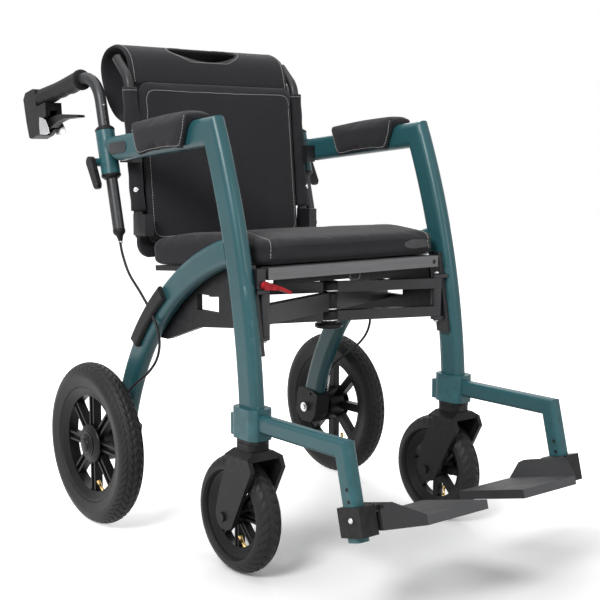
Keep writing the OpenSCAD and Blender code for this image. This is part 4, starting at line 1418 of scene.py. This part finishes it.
@dataclass
class PostSleeve(SideTrim):
    """Cloth sleeve that ties the backrest to one post."""

    post_x: float = 196.4
    foot: Pair = (-12.0, 536.0)
    rise: Pair = (0.1097, 0.994)
    low: float = 50.0
    high: float = 281.0
    half: Pair = (13.0, 14.5)
    hem: float = 5.0
    rows: int = 48
    sides: int = 28
    button_out: Point = (0.62, -0.78, 0.09)

    def spot(self, turn: float, u: float, grow: float = 1.0) -> Vector:
        """Point on the sleeve, with a slight wrinkle.

        Args:
            turn: angle round the post in radians.
            u: place up the post in millimetres.
            grow: share of the sleeve's full size.

        Returns:
            The point in metres.
        """
        wrinkle = 0.5 * math.sin(u / 7.0 + 2.0 * math.sin(turn)) + 0.4 * math.sin(u / 17.0 + 3.0 * turn)
        x = self.post_x + (self.half[0] + wrinkle) * grow * math.cos(turn)
        y = self.foot[0] + self.rise[0] * u + (self.half[1] + wrinkle) * grow * math.sin(turn)
        return GAUGE.at(self.side.sign * x, y, self.foot[1] + self.rise[1] * u)

    def ring(self, u: float, grow: float = 1.0) -> list[Vector]:
        """Points all round the post, u millimetres up it."""
        return [self.spot(t, u, grow) for t in around(self.sides)]

    def build(self) -> None:
        """Makes the sleeve with a sewn top hem and its snap button."""
        shell = Shell()
        wall = [self.ring(u) for u in np.linspace(self.low, self.high, self.rows)]
        top = [self.ring(self.high + 0.6, 0.93), self.ring(self.high - self.hem, 0.8)]
        shell.loft([self.ring(self.low + 1.0, 0.86), *wall, *top])
        piece = self.add(shell, "post_sleeve", "frame", "charcoal_fabric")
        hem = [self.spot(t, self.high - self.hem) for t in [*around(60), 2 * math.pi]]
        Stitching().run(self.palette, piece, f"{piece.name}_stitches", self.named("frame"), [hem])
        button = Shell()
        x, y, z = self.button_out
        profile = [(0, 5), (1.6, 5), (2.6, 4.2), (3.0, 2.6), (3.1, 0.2)]
        button.lathe(self.spot(-0.9, 90.0, 0.97), Vector((self.side.sign * x, y, z)), profile, 20)
        self.add(button, "post_button", "frame", "bright_steel")


def wheel_spoke(turn: float) -> Vector:
    """Unit vector from a wheel's centre at a turn from the top."""
    return Vector((0, math.sin(turn), math.cos(turn)))


@dataclass
class Tyre(SideTrim):
    """Treaded tyre lofted round one wheel, with the side walls drawn in to its rim."""

    end: End
    rows: int
    blocks: int
    groove: float
    height: float
    rim_w: float
    reach: float = 62.0
    row_points: int = 6
    block_points: int = 6
    rib: float = 0.5

    def build(self) -> None:
        """Makes the tyre in place of its CAD node."""
        node = self.named(f"{self.end.value}_tyre")
        low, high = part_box(node)
        centre = (low + high) / 2
        radius = (high.z - low.z) / 2
        section = self.section((high.x - low.x) / 2)
        rings = []
        for i, turn in enumerate(around(self.blocks * self.block_points)):
            spoke = wheel_spoke(turn)
            ring = []
            for x, drop, k in section:
                ring.append(centre + Vector((x, 0, 0)) + spoke * (radius - drop - self.cut(k, i)))
            rings.append(ring)
        shell = Shell()
        shell.loft(rings, looped=True)
        wheel = self.named(f"{self.end.value}_wheel")
        piece = shell.piece(self.palette, f"{node}_treaded", wheel, "tyre_rubber")
        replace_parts(piece, node)

    def section(self, half: float) -> list[tuple[float, float, int]]:
        """Outline of the tyre.

        Args:
            half: half its width in metres.

        Returns:
            How far across, how far in from the tread, and the number of the tread's point or minus one.
        """
        steps = self.rows * self.row_points
        marks = []
        for k in range(steps + 1):
            t = math.radians(self.reach) * (2.0 * k / steps - 1.0)
            marks.append((half * math.sin(t), half * (1.0 - math.cos(t)), k))
        wall = []
        for t in np.radians(np.linspace(self.reach, 90.0, 7)[1:]):
            wall.append((half * math.sin(t), half * (1.0 - math.cos(t))))
        foot = ((self.rim_w / 2 + 1.0) * MM, self.height * MM)
        for f in (0.25, 0.5, 0.75, 1.0):
            ridge = self.rib * MM if f == 0.75 else 0.0
            wall.append((half + (foot[0] - half) * f + ridge, half + (foot[1] - half) * f))
        left = [(-x, drop, -1) for x, drop in reversed(wall)]
        right = [(x, drop, -1) for x, drop in wall]
        return left + marks + right + [(foot[0] * f, foot[1], -1) for f in (0.5, 0.0, -0.5)]

    def cut(self, mark: int, step: int) -> float:
        """Depth of the tread's grooves at one place.

        Args:
            mark: number of the tread's point across, or minus one off the tread.
            step: number of the step round the wheel.

        Returns:
            The depth in metres.
        """
        if mark < 0:
            return 0.0
        row, place = divmod(mark, self.row_points)
        zigzag = (step + (place if row % 2 else -place)) % self.block_points
        deep = place == 0 and 0 < row < self.rows
        return self.groove * MM if deep or zigzag == 0 else 0.0


@dataclass
class WheelTrim(SideTrim):
    """Valve and axle cover of one wheel."""

    end: End
    centre: Point
    rim_in: float
    cap_x: float | None = None
    valve_turn: float = 196.0
    valve_lean: float = 0.35

    def build(self) -> None:
        """Makes the brass valve, and the button on the hub where there is one."""
        x, y, z = self.centre
        body = self.named(f"{self.end.value}_wheel")
        spoke = wheel_spoke(math.radians(self.valve_turn))
        root = GAUGE.at(self.side.sign * x, y, z) + spoke * (self.rim_in * MM)
        tip = Vector((self.side.sign * self.valve_lean, 0, 0)) - spoke
        valve = Shell()
        profile = [(0, 4.2), (3, 4.2), (4, 2.6), (15, 2.6), (15.4, 3.4), (23, 3.4), (24, 2.6), (24.2, 0.2)]
        valve.lathe(root + spoke * (2.0 * MM), tip, profile, 16)
        valve.piece(self.palette, f"{body}_valve", body, "bright_steel", "brass")
        if self.cap_x is None:
            return
        cap = Shell()
        profile = [(-1, 20), (0.8, 19.6), (1.8, 17), (2.2, 12.8), (5.2, 12.4), (6.4, 10.8), (6.9, 5),
                   (7.0, 0.2)]
        foot = GAUGE.at(self.side.sign * self.cap_x, y, z)
        cap.lathe(foot, Vector((self.side.sign, 0, 0)), profile, 32)
        cap.piece(self.palette, f"{body}_button", body, "rim_plastic")


@dataclass
class HandleTrim(SideTrim):
    """Small parts of one push handle: grip, index marks, sleeve rings, badge, housing plates and ferrules."""

    tube_r: float = 11.0
    grip_ends: tuple[Pair, Pair] = ((137.66, 834.89), (307.25, 806.2))
    grip_r: float = 18.4
    waist: float = 0.9
    hollow: float = 0.9
    fingers: int = 4
    ribs: int = 12
    rib: float = 0.35
    flange: float = 1.2
    dots_u: Point = (62.0, 71.5, 81.0)
    dot_r: float = 2.3
    line_u: float = 90.0
    line_size: Pair = (3.2, 1.4)
    mouth: float = 43.0
    badge_x: float = 245.7
    badge_ends: Pair = (276.0, 318.0)
    badge_r: float = 10.5
    cheek: float = 17.7
    stop_u: float = -152.4
    ferrule_u: float = -168.0

    def build(self) -> None:
        """Makes every part."""
        self.grip()
        self.marks()
        self.rings()
        self.badge()
        self.housing_plates()
        self.ferrules()

    def grip_radius(self, f: float, t: float) -> float:
        """Radius of the grip at one place.

        Args:
            f: share of the grip's length.
            t: angle round it in radians.

        Returns:
            The radius in millimetres.
        """
        r = self.grip_r - (self.waist * math.cos(2 * math.pi * (f - 0.55)) + 0.5 * self.waist)
        if f <= 0.04:
            r += self.flange
        if 0.05 < f < 0.95:
            below = max(0.0, -math.sin(t)) ** 1.5
            r -= below * self.hollow * (1.0 - math.cos(2 * math.pi * self.fingers * f))
        if 0.08 < f < 0.92 and math.cos(self.ribs * t) > 0.4:
            r -= self.rib
        return r

    def grip(self) -> None:
        """Shapes the grip: waisted, with finger hollows below and an end flange."""
        start, end = (GAUGE.at(self.side.x, y, z) for y, z in self.grip_ends)
        way = (end - start).normalized()
        up = Vector((0, -way.z, way.y))
        side = Vector((1, 0, 0))
        rings = []
        for f in np.linspace(0.0, 1.0, 72):
            ring = []
            for t in around(36):
                spoke = side * math.cos(t) + up * math.sin(t)
                ring.append(start.lerp(end, f) + spoke * (self.grip_radius(f, t) * MM))
            rings.append(ring)
        shell = Shell()
        shell.loft([[p.lerp(start, 0.22) for p in rings[0]], *rings])
        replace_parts(self.add(shell, "grip_moulded", "handle", "grip_rubber"), self.named("grip"))

    def marks(self) -> None:
        """Dots the tube's front with black discs for its index holes, painted shade for the dark holes, and a
        pale line above them.
        """
        x = self.side.x
        # The index holes are flush black discs: painted shade where the holes' dark insides would be
        dots = Shell()
        foot_r, top_r = self.tube_r - 0.5, self.tube_r + 0.015
        for u in self.dots_u:
            rings = []
            for size, r in ((self.dot_r, foot_r), (self.dot_r, top_r), (0.1, top_r)):
                spots = oval(size, size, 16)
                rings.append([HANDLE.at(x + a, u + b, math.sqrt(r**2 - a**2)) for a, b in spots])
            dots.loft(rings)
        self.add(dots, "index_holes", "handle", "black_plastic")
        line = Shell()
        outline = [HANDLE.at(x + a, self.line_u + b, self.tube_r) for a, b in oval(*self.line_size, 16)]
        line.plate(outline, HANDLE.out, 0.4, 0.3)
        self.add(line, "index_line", "handle", "bright_steel")

    def rings(self) -> None:
        """Lines both mouths of the frame's sleeve with black rings."""
        shell = Shell()
        profile = [(-1, 12.2), (-1, 18.6), (2.2, 18.6), (3.6, 17.4), (6.4, 14.6), (7, 13.6), (7, 12.2)]
        for way in (1.0, -1.0):
            shell.band(HANDLE.at(self.side.x, way * self.mouth, 0), HANDLE.along * way, profile)
        self.add(shell, "sleeve_rings", "frame", "black_plastic")

    def badge(self) -> None:
        """Lays a bare rounded plate on the outside of the armrest tube."""
        x = self.side.sign * self.badge_x
        front, rear = self.badge_ends
        outline = []
        for middle, start in ((rear, -90.0), (front, 90.0)):
            for k in range(13):
                t = math.radians(start + 180.0 * k / 12)
                outline.append(ARM.at(x, middle + self.badge_r * math.cos(t), self.badge_r * math.sin(t)))
        shell = Shell()
        shell.plate(outline, Vector((self.side.sign, 0, 0)), 1.6, 1.6)
        self.add(shell, "bare_badge", "frame", "dark_anodised")

    def housing_plates(self) -> None:
        """Faces both cheeks of the brake housing's foot with a bright plate."""
        shell = Shell()
        marks = [(289, 767), (276, 765), (262, 760), (250, 745), (246, 734), (262, 731), (288, 732),
                 (291, 750)]
        for face in (-1, 1):
            x = self.side.x + face * self.cheek
            shell.plate([GAUGE.at(x, y, z) for y, z in marks], Vector((face, 0, 0)), 1.4, 1.2)
        self.add(shell, "housing_plate", "handle", "bright_steel")

    def ferrules(self) -> None:
        """Ends the sliding tube in a tapered black stop and a bright cable ferrule."""
        stop = Shell()
        profile = [(-17, 3.4), (-16.5, 4.2), (-7, 6.4), (-2, 10.9), (0, 11.6), (5, 11.6), (6, 11.0)]
        stop.lathe(HANDLE.at(self.side.x, self.stop_u, 0), HANDLE.along, profile, 28)
        self.add(stop, "tube_stop", "handle", "black_plastic")
        ferrule = Shell()
        profile = [(0, 3.6), (5.5, 3.6), (6.4, 3.1), (6.6, 2.2)]
        ferrule.lathe(HANDLE.at(self.side.x, self.ferrule_u, 0), -HANDLE.along, profile, 16)
        self.add(ferrule, "cable_ferrule", "handle", "bright_steel")


@dataclass
class UnderSeat:
    """Barrels and bands of the crossing, heads of the hinge pins and the strap lug."""

    palette: Palette
    cross_y: float = -332.1
    pin_at: Pair = (197.5, -404.0)
    pin_ends: tuple[Pair, Pair] = ((474.4, 1.0), (387.6, -1.0))
    head: Pair = (5.0, 3.4)
    lug_y: float = -408.0
    wire_r: float = 0.0022

    def build(self) -> None:
        """Makes every part."""
        self.centre()
        self.hinges()
        self.lug()

    def centre(self) -> None:
        """Dresses the crossing of the arms with a barrel, bright bands and a disc below."""
        up = Vector((0, 0, 1))
        foot = GAUGE.at(0, self.cross_y, 0)
        rolls = (("arm_single", [(415.2, 446.8)]), ("arm_double", [(394.5, 414.2), (447.8, 467.5)]))
        for body, spans in rolls:
            barrel = Shell()
            bands = Shell()
            for low, high in spans:
                wall = [(low, 15.8), (low + 0.8, 16.6), (high - 0.8, 16.6), (high, 15.8)]
                barrel.band(foot, up, [(low, 9), *wall, (high, 9)])
                bands.band(foot, up, [(low + 2, 16), (low + 2, 17.1), (low + 5, 17.1), (low + 5, 16)])
            if body == "arm_single":
                barrel.lathe(foot, up, [(383.6, 22), (385, 25), (391, 25), (392.4, 22), (392.4, 8)], 36)
            barrel.piece(self.palette, f"{body}_barrel", body, "black_plastic")
            bands.piece(self.palette, f"{body}_bands", body, "bright_steel")

    def hinges(self) -> None:
        """Caps both ends of the arms' hinge pins with bright heads."""
        x, y = self.pin_at
        for side in Side:
            shell = Shell()
            for z, way in self.pin_ends:
                shell.screw(GAUGE.at(side.sign * x, y, z), Vector((0, 0, way)), *self.head)
            shell.piece(self.palette, f"hinge_pin_heads_{side.value}", f"frame_{side.value}", "bright_steel")

    def lug(self) -> None:
        """Hangs the strap's wire lug under the front beam."""
        marks = [(-17, 492), (-17, 483), (-14, 478), (-6, 476.5), (2, 478), (5, 483), (5, 492)]
        shell = Shell()
        shell.tube(curve_through([GAUGE.at(x, self.lug_y, z) for x, z in marks], 6), self.wire_r, 10)
        shell.piece(self.palette, "strap_lug", "seat", "dark_anodised")


@dataclass
class FootrestTrim(SideTrim):
    """Screws of one footrest, and its adjusting holes as painted shade."""

    screw_at: Point = (16.0, 102.0, 9.0)
    head: Pair = (4.6, 3.0)
    hole_x: float = 11.6
    hole_lift: float = 5.0
    holes_u: Pair = (58.0, 76.0)

    def build(self) -> None:
        """Makes the clamp's screw and nut, and black cups for the holes of the drop tube, painted shade for
        the holes' dark insides.
        """
        screws = Shell()
        holes = Shell()
        across, down, lift = self.screw_at
        # The holes are shallow black cups on the tube: painted shade where their dark insides would be
        rim = [(0, 2.9), (0.9, 2.9), (0.9, 2.2), (0.6, 2.1), (0.6, 0.1)]
        for face in (-1, 1):
            out = Vector((face, 0, 0))
            screws.screw(FOOT.at(self.side.x + face * across, down, lift), out, *self.head)
            for u in self.holes_u:
                holes.lathe(FOOT.at(self.side.x + face * self.hole_x, u, self.hole_lift), out, rim, 14)
        self.add(screws, "clamp_screws", "frame", "bright_steel")
        self.add(holes, "drop_tube_holes", "frame", "black_plastic")


@dataclass
class BrakeCable(SideTrim):
    """Sheathed cable from one handle's foot to its brake arm."""

    radius: float = 2.5
    fixed_from: int = 5

    def route(self) -> list[Vector]:
        """Repeats the CAD cable's own points, mirrored for the right side.

        Returns:
            The points in metres, from the handle down.
        """
        marks = [(232, 3.34, 545.13), (233, -0.66, 529.13), (240, -22, 505), (250, -62, 474),
                 (252, -104, 444), (251, -136, 414), (250, -157, 384), (250, -164, 356), (250, -152, 326),
                 (251, -122, 298), (253, -78, 270), (252.8, -44, 244), (252.8, -30, 223.5)]
        return [GAUGE.at(self.side.sign * x, y, z) for x, y, z in marks]

    def build(self) -> None:
        """Makes the cable in place of its CAD node."""
        points = self.route()
        shell = Shell()
        shell.tube(curve_through(points, 8), self.radius * MM, 10)
        node = self.named("brake_cable")
        piece = shell.piece(self.palette, f"{node}_sheath", "", "cable_sheath")
        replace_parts(piece, node)
        self.named("handle")
        self.named("frame")
        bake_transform(piece)


@dataclass(frozen=True)
class Studio:
    """Pale sweep with a painted shadow, soft lights and the camera."""

    camera_at: Point = (-1296.7, -1887.23, 686.47)
    yaw: float = 38.368
    pitch: float = 7.138
    lens: float = 68.59
    floor_size: float = 14.0
    # Painted shadow on the floor: its middle in metres, the span in metres over which the floor's glow comes
    # back, and the share of glow left at its middle
    painted_shadow_at: Pair = (-0.05, -0.4)
    painted_shadow_span: Pair = (0.15, 1.0)
    painted_shadow_glow: float = 0.05
    floor_colour: Colour = (0.9, 0.9, 0.9)
    floor_bounce: Colour = (0.35, 0.35, 0.35)

    def build(self) -> None:
        """Sets up the whole studio."""
        self.camera()
        self.floor()
        self.world()
        self.softbox("key", (-2.3, -1.2, 2.2), (0.0, -0.1, 0.6), 0.9, 70.0)
        self.softbox("front", (0.6, -3.2, 1.6), (0.0, 0.0, 0.6), 1.0, 21.0)
        self.softbox("top", (-0.3, 0.2, 2.9), (0.0, 0.0, 0.2), 3.0, 39.0)
        self.softbox("rim", (1.6, 2.0, 1.9), (0.0, 0.0, 0.6), 1.0, 12.0)
        bpy.context.scene.view_settings.view_transform = "Standard"

    def camera(self) -> None:
        """Places the camera of the reference view."""
        data = bpy.data.cameras.new("camera")
        data.lens = self.lens
        made = bpy.data.objects.new("camera", data)
        bpy.context.scene.collection.objects.link(made)
        made.location = GAUGE.at(*self.camera_at)
        yaw, pitch = math.radians(self.yaw), math.radians(self.pitch)
        look = Vector((math.sin(yaw) * math.cos(pitch), math.cos(yaw) * math.cos(pitch), -math.sin(pitch)))
        made.rotation_euler = look.to_track_quat("-Z", "Y").to_euler()
        bpy.context.scene.camera = made

    def floor(self) -> None:
        """Lays a pale floor that keeps the cast shadow, and whose white glow is dimmed in front of the chair
        as a painted shadow.
        """
        half = self.floor_size / 2
        mesh = bpy.data.meshes.new("floor")
        corners = [(-half, -half, 0), (half, -half, 0), (half, half, 0), (-half, half, 0)]
        mesh.from_pydata(corners, [], [(0, 1, 2, 3)])
        made = bpy.data.objects.new("floor", mesh)
        bpy.context.scene.collection.objects.link(made)
        g = Graph(bpy.data.materials.new("pale_floor"))
        across, along, _ = g.axes(g.place)
        # Painted shadow: the floor's glow for camera and mirror rays falls off towards a point in front of
        # the chair, so the floor there looks greyer
        level = (across - self.painted_shadow_at[0]).hypot(along - self.painted_shadow_at[1]).smooth(*self.painted_shadow_span)
        shown = g.seen()
        glow = shown * (self.painted_shadow_glow + (1.0 - self.painted_shadow_glow) * level)
        white = g.out("ShaderNodeCombineColor", None, {0: glow, 1: glow, 2: glow})
        lit = {"Emission Color": white, "Emission Strength": 1.0}
        base = g.mix(shown, self.floor_bounce, self.floor_colour)
        mesh.materials.append(g.finish(lit, base=base, roughness=0.85))

    @staticmethod
    def world(fill: float = 0.26) -> None:
        """Lights the room softly and shows pure white behind the chair.

        Args:
            fill: strength of the light that the room throws on the chair.
        """
        bpy.context.scene.world = bpy.data.worlds.new("room")
        g = Graph(bpy.context.scene.world)
        level = fill + g.seen() * (1.0 - fill)
        back = g.out("ShaderNodeBackground", None, {"Color": (1.0, 1.0, 1.0, 1.0), "Strength": level})
        g.node("ShaderNodeOutputWorld", None, {"Surface": back})

    @staticmethod
    def softbox(name: str, place: Point, target: Point, size: float, power: float) -> None:
        """Hangs one square area light.

        Args:
            name: its name.
            place: where it hangs, in metres.
            target: point that it looks at.
            size: length of its edge in metres.
            power: its strength in watts.
        """
        data = bpy.data.lights.new(name, "AREA")
        data.size = size
        data.energy = power
        made = bpy.data.objects.new(name, data)
        bpy.context.scene.collection.objects.link(made)
        made.location = place
        made.rotation_euler = (Vector(target) - Vector(place)).to_track_quat("-Z", "Y").to_euler()


# Beginnings of the names of nodes with softened edges
SOFT_EDGES: tuple[str, ...] = (
    "caster_fork", "brake_housing", "brake_lever", "clamp_lever", "footplate", "axle_bracket", "side_fairing",
    "cable_cover", "hinge_bracket", "caster_head", "seat_latch", "cross_arm", "seat_beam", "footrest_tube",
)
# Nodes whose finish isn't that of their slot
OWN_FINISH: dict[str, str] = {
    "footplate_left": "tread",
    "footplate_right": "tread",
    "seat_beam": "beam",
    "centre_pin": "black_metal",
}
# Width of the softened edges in metres, and the least angle that counts as an edge
EDGE_W = 0.0012
FORK_EDGE_W = 0.003
SHARP = math.radians(40.0)

# Sizes of the wheels in millimetres, with places as on the left side
REAR_TYRE = {"rows": 5, "blocks": 60, "groove": 2.6, "height": 45.0, "rim_w": 36.0}
FRONT_TYRE = {"rows": 3, "blocks": 36, "groove": 2.4, "height": 26.0, "rim_w": 30.0}
REAR_WHEEL = {"centre": (292.5, 0, 152.5), "rim_in": 90.5, "cap_x": 312.5}
FRONT_WHEEL = {"centre": (HALF_W, -381, 99.5), "rim_in": 56.5}


def dress_frame(palette: Palette) -> None:
    """Gives every CAD node the finish of its record slot, and mouldings a softened edge.

    Args:
        palette: finishes to choose from.
    """
    for part in frame["record"]["subparts"]:
        name = part["node"]
        node = frame["nodes"][name]
        node.data.materials.clear()
        node.data.materials.append(palette.of(OWN_FINISH.get(name, part["material_slot"])))
        if name.startswith(SOFT_EDGES):
            bevel = node.modifiers.new("softened_edges", "BEVEL")
            bevel.width = FORK_EDGE_W if name.startswith("caster_fork") else EDGE_W
            bevel.segments = 3
            bevel.limit_method = "ANGLE"
            bevel.angle_limit = SHARP


def main() -> None:
    """Builds the studio, dresses the CAD nodes and builds the chair's other pieces in order."""
    logging.basicConfig(level=logging.INFO, format="%(message)s")
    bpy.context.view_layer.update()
    palette = Palette()
    Studio().build()
    dress_frame(palette)
    pieces = []
    for side in Side:
        pieces += [
            BrakeCable(palette, side),
            Tyre(palette, side, End.REAR, **REAR_TYRE),
            Tyre(palette, side, End.FRONT, **FRONT_TYRE),
            WheelTrim(palette, side, End.REAR, **REAR_WHEEL),
            WheelTrim(palette, side, End.FRONT, **FRONT_WHEEL),
            ArmPad(palette, f"armrest_pad_{side.value}", f"frame_{side.value}", side=side),
            HandleTrim(palette, side),
            PostSleeve(palette, side),
            FootrestTrim(palette, side),
        ]
    pieces += [
        UnderSeat(palette),
        SeatCushion(palette, "seat_cushion", "seat"),
        BackPanel(palette, "back_panel", "frame_right"),
        BackBag(palette, "back_bag", "frame_right"),
        HeadFlap(palette),
    ]
    for number, piece in enumerate(pieces, 1):
        piece.build()
        log.info("%d of %d built: %s", number, len(pieces), type(piece).__name__)


if __name__ == "__main__":
    main()
